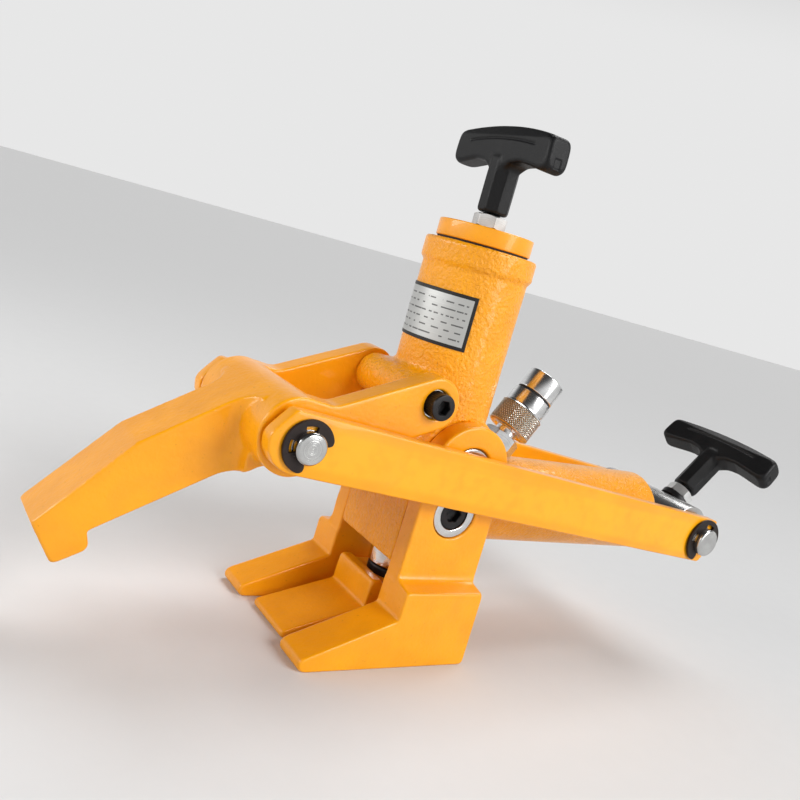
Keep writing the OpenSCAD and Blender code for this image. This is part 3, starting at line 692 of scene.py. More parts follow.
def skin_tree():
    """Raises a cast skin of soft lumps where the mesh's rough attribute says so."""
    tree, given, wanted = new_group(
        "raise_skin",
        "GeometryNodeTree",
        [
            ("Geometry", "NodeSocketGeometry", None),
            ("Height", "NodeSocketFloat", 0.0001),
            ("Width", "NodeSocketFloat", 0.004),
            ("Material", "NodeSocketMaterial", None),
        ],
        [("Geometry", "NodeSocketGeometry")],
    )
    scale = calc(tree, "DIVIDE", 1.0, given["Width"])
    place = node(tree, "GeometryNodeInputPosition").outputs[0]
    lumps = node(tree, "ShaderNodeTexNoise", None, Vector=place, Scale=scale, Detail=1.0)
    rough = node(tree, "GeometryNodeInputNamedAttribute", {"data_type": "FLOAT"}, Name="rough").outputs[0]
    centred = calc(tree, "SUBTRACT", lumps.outputs["Fac"], 0.5)
    lump = calc(tree, "MULTIPLY", centred, 2.6)
    amount = calc(tree, "MULTIPLY", lump, calc(tree, "MULTIPLY", rough, given["Height"]))
    normal = node(tree, "GeometryNodeInputNormal").outputs[0]
    shift = node(tree, "ShaderNodeVectorMath", {"operation": "SCALE"}, _0=normal, Scale=amount).outputs[0]
    moved = node(tree, "GeometryNodeSetPosition", None, Geometry=given["Geometry"], Offset=shift)
    close_tree(tree, wanted, moved.outputs[0], given["Material"])
    return tree


GEOMETRY_TREES = {
    "set_copies": copies_tree,
    "wind_spring": coil_tree,
    "press_knurl": knurl_tree,
    "raise_skin": skin_tree,
}


def link(obj):
    bpy.context.scene.collection.objects.link(obj)
    return obj


def evaluated_mesh(obj):
    """An object's mesh with its modifiers applied, as a plain mesh. The object is removed."""
    bpy.context.view_layer.update()
    graph = bpy.context.evaluated_depsgraph_get()
    mesh = bpy.data.meshes.new_from_object(obj.evaluated_get(graph))
    bpy.data.objects.remove(obj)
    return mesh


def grow(tree_name, mesh, **values):
    """Runs a geometry node tree on a mesh and gives back the plain mesh that it makes."""
    tree = bpy.data.node_groups.get(tree_name) or GEOMETRY_TREES[tree_name]()
    holder = link(bpy.data.objects.new(tree_name, mesh))
    modifier = holder.modifiers.new(tree_name, "NODES")
    modifier.node_group = tree
    for item in tree.interface.items_tree:
        if item.item_type == "SOCKET" and item.in_out == "INPUT" and item.name in values:
            modifier[item.identifier] = values[item.name]
    return evaluated_mesh(holder)


# ---- mesh helpers, in millimetres until the mesh is made ----


def to_mesh(name, points, faces, place=None):
    """A closed mesh with outward faces. Points are in millimetres and are turned and moved by place."""
    points = np.asarray(points, float)
    if place is not None:
        turn = np.array(place)
        points = points @ turn[:3, :3].T + turn[:3, 3]
    mesh = bpy.data.meshes.new(name)
    mesh.from_pydata((points * MM).tolist(), [], faces)
    tidy = bmesh.new()
    tidy.from_mesh(mesh)
    bmesh.ops.remove_doubles(tidy, verts=tidy.verts, dist=1e-7)
    bmesh.ops.dissolve_degenerate(tidy, edges=tidy.edges, dist=1e-7)
    bmesh.ops.recalc_face_normals(tidy, faces=tidy.faces)
    tidy.to_mesh(mesh)
    tidy.free()
    return mesh


def smooth(mesh, angle=38):
    """Smooth shading, sharp where faces meet at more than that angle in degrees."""
    mesh.shade_smooth()
    mesh.set_sharp_from_angle(angle=math.radians(angle))
    return mesh


def add_piece(name, mesh, finish_name, body, replaces):
    """A finished piece of the object."""
    mesh.name = name
    mesh.materials.clear()
    mesh.materials.append(finish(finish_name))
    piece = link(bpy.data.objects.new(name, mesh))
    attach(piece, body)
    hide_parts(*replaces)
    return piece


def placed(axis, foot):
    """The matrix that takes a piece made about Z at the origin to an axis and its foot."""
    return Matrix.Translation(Vector(foot)) @ Vector(axis).to_track_quat("Z", "Y").to_matrix().to_4x4()


def eased(points, radius, closed=False, steps=4):
    """A chain of (radius, height) points with each inner corner rounded."""
    points = [np.array(p, float) for p in points]
    count = len(points)
    chain = []
    for i, corner in enumerate(points):
        if not closed and i in (0, count - 1):
            chain.append(corner)
            continue
        before, after = points[i - 1] - corner, points[(i + 1) % count] - corner
        reach_in = min(radius, 0.45 * np.linalg.norm(before))
        reach_out = min(radius, 0.45 * np.linalg.norm(after))
        start = corner + before / np.linalg.norm(before) * reach_in
        end = corner + after / np.linalg.norm(after) * reach_out
        for s in np.linspace(0, 1, steps + 1):
            chain.append((1 - s) ** 2 * start + 2 * s * (1 - s) * corner + s * s * end)
    return chain


def turned(name, profile_at, steps=128, closed=False, place=None):
    """A solid made by carrying a profile round Z.

    profile_at gives the profile's (radius, height) points at an angle.
    """
    rings = np.array([profile_at(math.tau * i / steps) for i in range(steps)])
    angles = np.arange(steps) * math.tau / steps
    count = rings.shape[1]
    x = rings[:, :, 0] * np.cos(angles)[:, None]
    y = rings[:, :, 0] * np.sin(angles)[:, None]
    points = np.stack([x, y, rings[:, :, 1]], axis=2).reshape(-1, 3)
    spans = count if closed else count - 1
    faces = []
    for i in range(steps):
        here, there = i * count, (i + 1) % steps * count
        faces += [
            (here + j, there + j, there + (j + 1) % count, here + (j + 1) % count) for j in range(spans)
        ]
    return to_mesh(name, points, faces, place)


def lathe(name, profile, radius=0.5, closed=False, steps=128, place=None):
    """A plain turned solid with its edges rounded to a radius."""
    chain = eased(profile, radius, closed)
    return turned(name, lambda angle: chain, steps, closed, place)


def joined(name, *meshes):
    """Several meshes as one."""
    both = bmesh.new()
    for mesh in meshes:
        both.from_mesh(mesh)
    result = bpy.data.meshes.new(name)
    both.to_mesh(result)
    both.free()
    return result


def mirrored(mesh):
    """A mesh and its copy on the other side of the tool's middle plane."""
    other = mesh.copy()
    other.transform(Matrix.Scale(-1, 4, (0, 1, 0)))
    other.flip_normals()
    return joined(mesh.name, mesh, other)


def hexagon(radius, angle, corner=0.35):
    """Distance of a hexagon's side from its middle at an angle, its corners just rounded off."""
    side = radius * math.cos(math.pi / 6)
    turn = (angle % (math.pi / 3)) - math.pi / 6
    return min(side / math.cos(turn), radius - corner * 0.2)


def socket_screw(head_r, head_h, shank_r, shank, place=None, teeth=36):
    """A socket head screw: its head's top at 0, its shank below, a hexagon socket and a straight knurl."""
    edge = 0.7

    def profile(angle):
        socket = hexagon(head_r * 0.58, angle)
        grip = head_r - 0.22 * (0.5 - 0.5 * math.cos(teeth * angle))
        return (
            [(0, -head_h * 0.55 - 0.8), (socket * 0.5, -head_h * 0.55 - 0.4), (socket, -head_h * 0.55)]
            + [(socket, -0.4), (socket + 0.4, 0), (head_r - edge - 0.35, 0)]
            + [(head_r - edge * 0.5, -edge * 0.22), (head_r, -edge), (head_r, -1.5), (grip, -1.8)]
            + [(grip, -head_h + 1.5), (head_r, -head_h + 1.2)]
            + [(head_r, -head_h + 0.2), (head_r - 0.2, -head_h)]
            + [(shank_r, -head_h), (shank_r, -head_h - shank + 0.8), (shank_r - 0.8, -head_h - shank)]
            + [(0, -head_h - shank)]
        )

    return turned("socket_screw", profile, 144, place=place)


def jam_nut(place):
    """A thin hexagon nut with chamfered corners."""
    radius, height, bore = 11.0, 8.0, 6.05
    flat = radius * math.cos(math.pi / 6) - 0.25

    def profile(angle):
        side = hexagon(radius, angle)
        drop = (side - flat) * math.tan(math.radians(30))
        return (
            [(bore + 0.8, 0), (flat - 0.3, 0), (flat, 0.05), (side, drop), (side, drop + 0.25)]
            + [(side, height - drop - 0.25), (side, height - drop)]
            + [(flat, height - 0.05), (flat - 0.3, height)]
            + [(bore + 0.8, height), (bore, height - 0.8), (bore, 0.8)]
        )

    return turned("jam_nut", profile, 144, closed=True, place=place)


def threaded_stud(name, low, high, place):
    """A stud with a real helical thread."""
    pitch = bpy.context.scene.breaker_hardware.thread_pitch / MM
    radius, depth, chamfer = 6.0, 0.95, 1.2
    heights = np.arange(low, high, pitch / 8)

    def profile(angle):
        share = (heights / pitch - angle / math.tau) % 1.0
        ridge = np.clip(np.abs(share * 2 - 1) * 1.3 - 0.15, 0, 1)
        end = np.clip(np.minimum(heights - low, high - heights) / chamfer, 0, 1)
        radii = np.minimum(radius - depth * (1 - ridge), radius - chamfer * (1 - end))
        return [(0, low)] + list(zip(radii, heights)) + [(0, high)]

    return turned(name, profile, 64, place=place)


def retaining_ring(pin_r, outer, place):
    """A ring about Z on a pin: three wide prongs, two slots, rounded ends, and an open side towards +X."""
    inner, prong_r, thick, edge = outer - 3.6, pin_r - RING_GROOVE + 0.1, 2.0, 0.35
    opening, slot, ease = math.radians(48), math.radians(22), math.radians(3)
    lobe = math.radians(14)
    angles = np.linspace(opening, math.tau - opening, 181)
    points, faces = [], []
    for angle in angles:
        from_end = min(angle - opening, math.tau - opening - angle)
        inside = prong_r
        for middle_angle in (0.75 * math.pi, 1.25 * math.pi):
            near = np.clip((slot - abs(angle - middle_angle)) / ease, 0, 1)
            inside = max(inside, prong_r + (inner - prong_r) * near)
        round_off = math.sqrt(max(0.0, 1 - (1 - min(1.0, from_end / lobe)) ** 2))
        centre = (outer + inside) / 2
        half = (outer - inside) / 2 * (0.3 + 0.7 * round_off)
        near_r, far_r = centre - half, centre + half
        section = [(near_r, edge), (near_r + edge, 0), (far_r - edge, 0), (far_r, edge)]
        section += [(r, thick - z) for r, z in reversed(section)]
        points += [(r * math.cos(angle), r * math.sin(angle), z) for r, z in section]
    count = 8
    for i in range(len(angles) - 1):
        here, there = i * count, (i + 1) * count
        for j in range(count):
            k = (j + 1) % count
            faces.append((here + j, here + k, there + k, there + j))
    last = (len(angles) - 1) * count
    faces += [tuple(range(count)), tuple(last + j for j in range(count))]
    return to_mesh("retaining_ring", points, faces, place)


def points_with_facing(places):
    """A mesh of loose points, each with the direction that its copy faces."""
    mesh = bpy.data.meshes.new("places")
    mesh.from_pydata([tuple(Vector(spot) * MM) for spot, _ in places], [], [])
    facing = mesh.attributes.new("facing", "FLOAT_VECTOR", "POINT")
    facing.data.foreach_set("vector", [value for _, way in places for value in way])
    return mesh


def set_copies(mesh, places, finish_name):
    """Copies of a mesh made about Z, one at each (place, facing)."""
    sample = link(bpy.data.objects.new("sample", mesh))
    result = grow("set_copies", points_with_facing(places), Piece=sample, Material=finish(finish_name))
    bpy.data.objects.remove(sample)
    return smooth(result)


def both_sides(spots, reach):
    """Places on both sides of the tool at that distance from its middle plane, facing outwards."""
    return [((spot.x, side * reach, spot.z), (0, side, 0)) for spot in spots for side in SIDES]


# ---- castings ----


def merged_copy(node_name):
    """A frame node's mesh with its doubles merged."""
    mesh = frame["nodes"][node_name].data.copy()
    mesh.materials.clear()
    tidy = bmesh.new()
    tidy.from_mesh(mesh)
    bmesh.ops.remove_doubles(tidy, verts=tidy.verts, dist=1e-6)
    tidy.to_mesh(mesh)
    tidy.free()
    return mesh


def remeshed(mesh, voxel):
    """The mesh as even small faces, voxel millimetres wide."""
    holder = link(bpy.data.objects.new("remesh", mesh))
    modifier = holder.modifiers.new("remesh", "REMESH")
    modifier.mode = "VOXEL"
    modifier.voxel_size = voxel * MM
    return evaluated_mesh(holder)


def move_mm(mesh, place):
    """Moves a mesh by a matrix in millimetres."""
    mesh.transform(Matrix.Scale(MM, 4) @ place @ Matrix.Scale(1 / MM, 4))


def read_points(mesh):
    points = np.empty(len(mesh.vertices) * 3)
    mesh.vertices.foreach_get("co", points)
    return points.reshape(-1, 3) / MM


def write_points(mesh, points):
    mesh.vertices.foreach_set("co", (points * MM).ravel())
    mesh.update()


def spread_sum(index, values, count):
    """Adds each row of values to the row that index names."""
    return np.stack([np.bincount(index, values[:, k], count) for k in range(3)], axis=1)


def point_normals(points, corners, count):
    """Outward normals at the points of a mesh of four-sided faces."""
    a, b, c, d = (points[corners[:, k]] for k in range(4))
    face = np.cross(c - a, d - b)
    total = sum(spread_sum(corners[:, k], face, count) for k in range(4))
    return total / np.maximum(np.linalg.norm(total, axis=1, keepdims=True), 1e-12)


def relax(mesh, fillet, edge, passes):
    """Fills inner corners to the fillet radius and rounds outer edges to the edge radius, in millimetres.

    Either radius is one number, or one for each point."""
    points = read_points(mesh)
    count = len(points)
    edges = np.empty(len(mesh.edges) * 2, np.int64)
    mesh.edges.foreach_get("vertices", edges)
    edges = edges.reshape(-1, 2)
    starts, ends = np.concatenate([edges, edges[:, ::-1]]).T
    degree = np.maximum(np.bincount(starts, minlength=count), 1)[:, None]
    corners = np.empty(len(mesh.polygons) * 4, np.int64)
    mesh.polygons.foreach_get("vertices", corners)
    corners = corners.reshape(-1, 4)
    for _ in range(passes):
        normals = point_normals(points, corners, count)
        steps = points[ends] - points[starts]
        mean = spread_sum(starts, steps, count) / degree
        width = np.bincount(starts, (steps**2).sum(1), count) / degree[:, 0]
        bend = (mean * normals).sum(1)
        move = np.maximum(0, bend - width / (4 * fillet)) + np.minimum(0, bend + width / (4 * edge))
        slide = mean - bend[:, None] * normals
        shift = 0.8 * move[:, None] * normals + 0.25 * slide
        points = points + shift
    write_points(mesh, points)
    return mesh


def true_round(points, centre, axis, radius, low, high, slack=0.25):
    """Puts points near a cylinder exactly on it, so that no flats are left. axis is 0, 1 or 2."""
    flat = [k for k in range(3) if k != axis]
    offset = points[:, flat] - np.array([centre[k] for k in flat])
    reach = np.linalg.norm(offset, axis=1)
    near = (abs(reach - radius) < slack) & (points[:, axis] > low) & (points[:, axis] < high)
    for j, k in enumerate(flat):
        points[near, k] = centre[k] + offset[near, j] / reach[near] * radius


def set_rough(mesh, values):
    """Stores how rough the cast skin is at each point."""
    rough = mesh.attributes.new("rough", "FLOAT", "POINT")
    rough.data.foreach_set("value", np.asarray(values, np.float32))


def raise_skin(mesh, finish_name, width_factor=1.0):
    """Adds the cast skin's lumps."""
    castings = bpy.context.scene.breaker_castings
    width = castings.lump * width_factor
    return grow("raise_skin", mesh, Height=castings.skin, Width=width, Material=finish(finish_name))


def within_box(mesh, node_name):
    """Keeps the points inside the frame node's box, so that soles stay on the floor."""
    low, high = (np.array(corner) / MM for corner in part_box(node_name))
    write_points(mesh, np.clip(read_points(mesh), low, high))
    return mesh


def even_skin(rough):
    """A skin of the same roughness at every point."""
    return lambda points: np.full(len(points), rough)


def cast_piece(node_name, voxel, rounds, rough_at, finish_name, passes=40, fillet_at=None):
    """A casting made from its frame node.

    rounds lists its true cylinders, and rough_at gives the skin's roughness at each point.
    """
    castings = bpy.context.scene.breaker_castings
    mesh = remeshed(merged_copy(node_name), voxel)
    points = read_points(mesh)
    for spec in rounds:
        true_round(points, *spec)
    write_points(mesh, points)
    fillet = castings.fillet / MM
    relax(mesh, fillet_at(points) if fillet_at else fillet, castings.edge / MM, passes)
    set_rough(mesh, rough_at(read_points(mesh)))
    return smooth(within_box(raise_skin(mesh, finish_name), node_name), 180)


class BREAKER_OT_body(bpy.types.Operator):
    """Body casting with both cylinders"""

    bl_idname = "breaker.body"
    bl_label = "Body casting"

    def execute(self, context):
        clamp = (0, 0, CROSSBAR.z)
        push_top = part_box("body_casting")[1].z / MM
        rounds = [
            ((0, 0, 0), 2, 34.0, 100, push_top - 14),
            ((0, 0, 0), 2, 36.0, push_top - 12, push_top - 2),
            (clamp, 0, 30.0, 36, 212),
            (PIVOT, 1, 13.0, -30, 30),
            (BOSS, 1, 32.0, -32, 32),
        ]

        def rough_at(points):
            reach = np.hypot(points[:, 0], points[:, 1])
            push = np.clip((reach - 30) / 3, 0, 1) * np.clip((points[:, 2] - 128) / 12, 0, 1)
            under_clamp = np.clip((np.hypot(points[:, 1], points[:, 2] - clamp[2]) - 27) / 2, 0, 1)
            block = 0.7 * np.clip((130 - points[:, 2]) / 10, 0, 1) * np.clip((reach - 25) / 3, 0, 1)
            on_clamp = 0.3 * under_clamp * np.clip((points[:, 0] - 40) / 10, 0, 1)
            return np.maximum(push, np.maximum(on_clamp, np.where(points[:, 0] < 36, block, 0)))

        def fillet_at(points):
            return np.where(points[:, 2] > push_top - 25, 2.2, context.scene.breaker_castings.fillet / MM)

        mesh = cast_piece("body_casting", 1.3, rounds, rough_at, "enamel_rough", 45, fillet_at)
        add_piece("body_casting_cast", mesh, "enamel_rough", "frame", ["body_casting"])
        return {"FINISHED"}


class BREAKER_OT_cap(bpy.types.Operator):
    """Cylinder cap and its gasket"""

    bl_idname = "breaker.cap"
    bl_label = "Cylinder cap"

    def execute(self, context):
        low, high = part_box("cylinder_cap")
        bottom, top, radius = low.z / MM, high.z / MM, high.x / MM
        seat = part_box("cap_gasket")[1].z / MM
        profile = [(0, bottom), (27, bottom), (27, seat), (radius, seat), (radius, top), (7.4, top)]
        profile += [(6.1, top - 1.2), (6.1, seat - 9), (0, seat - 9)]
        cap = lathe("cylinder_cap", profile, 0.9, steps=160)
        add_piece("cylinder_cap_turned", smooth(cap), "enamel_smooth", "frame", ["cylinder_cap"])
        gasket_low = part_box("cap_gasket")[0].z / MM
        ring = [(27, gasket_low), (radius - 1, gasket_low), (radius - 1, seat), (27, seat)]
        gasket = lathe("cap_gasket", ring, 0.3, closed=True)
        add_piece("cap_gasket_ring", smooth(gasket), "rubber", "frame", ["cap_gasket"])
        return {"FINISHED"}


class BREAKER_OT_legs(bpy.types.Operator):
    """Left and right legs with their toes"""

    bl_idname = "breaker.legs"
    bl_label = "Legs"

    def execute(self, context):
        for side, name in zip(SIDES, ("leg_left", "leg_right")):
            rounds = [
                (BOSS, 1, 29.5, -46, 46),
                (BOSS, 1, 16.0, -46, 46),
                (LOWER_FASTENER, 1, 16.0, -46, 46),
            ]
            mesh = cast_piece(name, 1.0, rounds, even_skin(0.16), "enamel_cast", 40)
            add_piece(name + "_cast", mesh, "enamel_cast", "frame", [name])
        return {"FINISHED"}


class BREAKER_OT_foot(bpy.types.Operator):
    """Pusher foot and the dark collar on the rod above it"""

    bl_idname = "breaker.foot"
    bl_label = "Pusher foot"

    def execute(self, context):
        rounds = [((0, 0, 0), 2, 12.0, 0, 60)]
        mesh = cast_piece("pusher_foot", 0.8, rounds, even_skin(0.25), "enamel_cast", 35)
        add_piece("pusher_foot_cast", mesh, "enamel_cast", "push_ram", ["pusher_foot"])
        low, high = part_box("rod_collar")
        bottom, top, radius = low.z / MM, high.z / MM, high.x / MM
        ring = [(12.02, bottom), (radius, bottom), (radius, top - 1), (radius - 1, top), (12.02, top)]
        collar = lathe("rod_collar", ring, 0.6, closed=True)
        collar = smooth(collar)
        add_piece("rod_collar_turned", collar, "black_oxide", "push_ram", ["rod_collar"])
        return {"FINISHED"}


class BREAKER_OT_jaw(bpy.types.Operator):
    """Jaw with its hub, ears and hooked tip"""

    bl_idname = "breaker.jaw"
    bl_label = "Jaw"

    def execute(self, context):
        rounds = [
            (JAW_PIN, 1, 22.5, -46, 46),
            (PIVOT, 1, 16.0, -46, 46),
            (JAW_PIN, 1, 12.4, -46, 46),
            (PIVOT, 1, 9.05, -46, 46),
        ]

        def rough_at(points):
            return 0.14 + 0.12 * np.clip((-150 - points[:, 0]) / 20, 0, 1)

        mesh = cast_piece("jaw", 0.95, rounds, rough_at, "enamel_cast", 45)
        add_piece("jaw_cast", mesh, "enamel_cast", "jaw", ["jaw"])
        return {"FINISHED"}


# ---- side links, pins and rings ----


def link_outline():
    """The side link's outline, from the jaw pin at 0,0 to the crossbar along +X."""
    half = 34.5 / 2
    length = math.hypot(CROSSBAR.x - JAW_PIN.x, CROSSBAR.z - JAW_PIN.z)
    front = [(-12, half), (-17, 10), (-21.5, 3), (-22.3, -1)]
    front += [(-20.5, -7.5), (-15, -13.5), (-9, -16.3), (-3, -half)]
    return front + [(length + 7, -half), (length + 10, -half + 5), (length + 11.5, half)]


def rounded_prism(name, outline, low, high, edge, steps=4):
    """A plate between two heights whose corners and edges are rounded. The outline is convex."""
    chain = [tuple(p) for p in eased(outline, 2.4, closed=True, steps=5)]
    loop = np.array(chain)
    loop = loop[np.linalg.norm(loop - np.roll(loop, 1, axis=0), axis=1) > 1e-4]
    ahead = np.roll(loop, -1, axis=0) - loop
    behind = loop - np.roll(loop, 1, axis=0)
    tangent = ahead / np.linalg.norm(ahead, axis=1)[:, None]
    tangent = tangent + behind / np.linalg.norm(behind, axis=1)[:, None]
    tangent /= np.linalg.norm(tangent, axis=1)[:, None]
    inward = np.stack([tangent[:, 1], -tangent[:, 0]], axis=1)
    if ((loop.mean(0) - loop[0]) * inward[0]).sum() < 0:
        inward = -inward
    rings = []
    for s in np.linspace(0, math.pi / 2, steps + 1):
        rings.append((edge * (1 - math.sin(s)), low + edge * (1 - math.cos(s))))
    rings += [(inset, low + high - height) for inset, height in reversed(rings)]
    points = np.concatenate([
        np.column_stack([loop + inset * inward, np.full(len(loop), height)]) for inset, height in rings
    ])
    count = len(loop)
    faces = []
    for i in range(len(rings) - 1):
        here, there = i * count, (i + 1) * count
        for j in range(count):
            k = (j + 1) % count
            faces.append((here + j, here + k, there + k, there + j))
    faces += [tuple(range(count)), tuple((len(rings) - 1) * count + j for j in range(count))]
    return to_mesh(name, points, faces)


def cut(mesh, *cutters):
    """The mesh with other meshes cut out of it."""
    holder = link(bpy.data.objects.new("cut", mesh))
    tools = []
    for cutter in cutters:
        tool = link(bpy.data.objects.new("cutter", cutter))
        modifier = holder.modifiers.new("cut", "BOOLEAN")
        modifier.object = tool
        modifier.solver = "EXACT"
        tools.append(tool)
    result = evaluated_mesh(holder)
    for tool in tools:
        bpy.data.objects.remove(tool)
    return result


def rod(radius, low, high, place=None, steps=128):
    """A plain round bar along Z, used as a cutter."""
    outline = [(0, low), (radius, low), (radius, high), (0, high)]
    return turned("rod", lambda angle: outline, steps, place=place)


class BREAKER_OT_side_links(bpy.types.Operator):
    """Left and right side links, flat bars with rounded edges"""

    bl_idname = "breaker.side_links"
    bl_label = "Side links"

    def execute(self, context):
        edge = context.scene.breaker_castings.link_edge / MM
        slope = math.atan2(CROSSBAR.z - JAW_PIN.z, CROSSBAR.x - JAW_PIN.x)
        stand = Matrix.Rotation(math.pi / 2, 4, "X")
        lie = Matrix.Translation((JAW_PIN.x, 0, JAW_PIN.z)) @ Matrix.Rotation(-slope, 4, "Y") @ stand
        length = math.hypot(CROSSBAR.x - JAW_PIN.x, CROSSBAR.z - JAW_PIN.z)
        for name in ("side_link_left", "side_link_right"):
            low, high = (value.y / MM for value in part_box(name))
            blank = rounded_prism(name, link_outline(), -high, -low, edge)
            holes = [
                rod(r + 0.05, -high - 1, -low + 1, Matrix.Translation((x, 0, 0)))
                for r, x in ((JAW_PIN_R, 0), (CROSSBAR_PIN_R, length))
            ]
            mesh = cut(blank, *holes)
            move_mm(mesh, lie)
            add_piece(name + "_bar", smooth(mesh, 30), "enamel_smooth", "side_links", [name])
        return {"FINISHED"}


def pin_profile(radius, start):
    """Half of a link pin from the height start outwards, with its ring's groove."""
    inner, outer, end = 59.3, 61.5, 66.0
    return [
        (radius, start), (radius, inner), (radius - RING_GROOVE, inner), (radius - RING_GROOVE, outer),
        (radius, outer), (radius, end - 1), (radius - 1, end), (0, end),
    ]


class BREAKER_OT_pins(bpy.types.Operator):
    """Jaw pin and crossbar"""

    bl_idname = "breaker.pins"
    bl_label = "Jaw pin and crossbar"

    def execute(self, context):
        half = pin_profile(JAW_PIN_R, 0)[1:]
        whole = [(r, -z) for r, z in reversed(half)] + half
        pin = lathe("jaw_pin", whole, 0.3, place=placed((0, 1, 0), (JAW_PIN.x, 0, JAW_PIN.z)))
        add_piece("jaw_pin_turned", smooth(pin), "jaw_pin_steel", "side_links", ["jaw_pin"])
        half = [(21, 44.5), (13, 44.5), (13, 48.5), (CROSSBAR_PIN_R, 48.5)]
        half += pin_profile(CROSSBAR_PIN_R, 0)[1:]
        whole = [(r, -z) for r, z in reversed(half)] + half
        bar = lathe("crossbar", whole, 0.6, place=placed((0, 1, 0), CROSSBAR))
        along_x = placed((1, 0, 0), CROSSBAR)
        spot = placed(CLAMP_GRIP_AXIS, CLAMP_GRIP_FOOT)
        bar = cut(
            bar, rod(12.05, -25, -19, along_x), rod(9.05, -22, 7, along_x), rod(4.1, 0, 20, along_x),
            rod(6.9, 12, 25, along_x), rod(6.1, 9, 30, spot), rod(12.5, 19.5, 30, spot),
        )
        add_piece("crossbar_turned", smooth(bar, 30), "crossbar_steel", "clamp_ram", ["crossbar"])
        return {"FINISHED"}


class BREAKER_OT_rings(bpy.types.Operator):
    """Retaining rings on the jaw pin and the crossbar"""

    bl_idname = "breaker.rings"
    bl_label = "Retaining rings"

    def execute(self, context):
        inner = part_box("jaw_pin_rings")[1].y / MM - 2
        for node_name, spot, body, open_at, pin_r, outer in (
            ("jaw_pin_rings", JAW_PIN, "side_links", -42, JAW_PIN_R, 15.0),
            ("crossbar_rings", CROSSBAR, "clamp_ram", -59, CROSSBAR_PIN_R, 17.0),
        ):
            upright = Matrix.Rotation(math.radians(90), 4, "X")
            opened = upright @ Matrix.Rotation(math.radians(open_at), 4, "Z")
            place = Matrix.Translation((spot.x, -inner, spot.z)) @ opened
            rings = smooth(mirrored(retaining_ring(pin_r, outer, place)), 30)
            add_piece(node_name + "_sprung", rings, "ring_black", body, [node_name])
        return {"FINISHED"}


# ---- fasteners ----


class BREAKER_OT_fasteners(bpy.types.Operator):
    """Sleeves, dowels and socket head screws"""

    bl_idname = "breaker.fasteners"
    bl_label = "Fasteners"

    def execute(self, context):
        sleeve = [(5.1, 0), (9, 0), (9, 12.3), (5.1, 12.3)]
        sleeves = set_copies(
            lathe("sleeve", sleeve, 0.6, closed=True), both_sides([PIVOT], 30.7), "sleeve_steel"
        )
        replaced = ["jaw_pivot_sleeves"]
        add_piece("jaw_pivot_sleeves_turned", sleeves, "sleeve_steel", "frame", replaced)
        screws = set_copies(socket_screw(8, 10, 5, 24.3), both_sides([PIVOT], 53), "black_oxide")
        replaced = ["jaw_pivot_screws"]
        add_piece("jaw_pivot_screws_black", screws, "black_oxide", "frame", replaced)
        spots = [LOWER_FASTENER, BOSS]
        dowel = [(7.1, 0), (15.4, 0), (15.4, 14.3), (10.3, 14.3), (10.3, 6), (7.1, 6)]
        dowels = set_copies(lathe("dowel", dowel, 0.8, closed=True), both_sides(spots, 31), "dowel_steel")
        add_piece("leg_dowels_turned", dowels, "dowel_steel", "frame", ["leg_dowels"])
        screws = set_copies(socket_screw(10, 7.5, 7, 11), both_sides(spots, 44.5), "black_oxide")
        add_piece("leg_screws_black", screws, "black_oxide", "frame", ["leg_screws"])
        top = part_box("crossbar_screw")[1].x / MM
        screw = socket_screw(6.5, 8, 4, 17, placed((1, 0, 0), (top, 0, CROSSBAR.z)))
        replaced = ["crossbar_screw"]
        add_piece("crossbar_screw_black", smooth(screw), "black_oxide", "clamp_ram", replaced)
        return {"FINISHED"}


# ---- grips ----


def soften_grip(name, place, foot, stem, half):
    """A T grip made from its frame node, with its moulding line and a bar of twice half.

    place takes the grip's own frame to the tool's.
    """
    grips = bpy.context.scene.breaker_grips
    mesh = merged_copy(name)
    move_mm(mesh, place.inverted())
    mesh = remeshed(mesh, 0.5)
    height = read_points(mesh)[:, 2] - foot
    edge = np.where(height > stem - 5, grips.edge / MM, grips.stem_edge / MM)
    relax(mesh, grips.fillet / MM, edge, 170)
    points = read_points(mesh)
    x, y, z = points.T
    sag = 5.0
    arch_r = (half**2 + sag**2) / (2 * sag)
    below = foot + stem + 24 - arch_r + np.sqrt(np.maximum(arch_r**2 - y**2, 0)) - z
    line = np.exp(-(((below - 8.6) / 0.6) ** 2)) * np.clip((33 - abs(y)) / 2, 0, 1) * (abs(x) > 6)
    points[:, 0] -= np.sign(x) * line * grips.groove / MM
    recess = (abs(y) > half - 1.5) & (abs(x) < 2.4) & (abs(below - 15) < 3)
    points[recess, 1] -= np.sign(y[recess]) * 0.6
    write_points(mesh, points)
    move_mm(mesh, place)
    return smooth(mesh, 180)


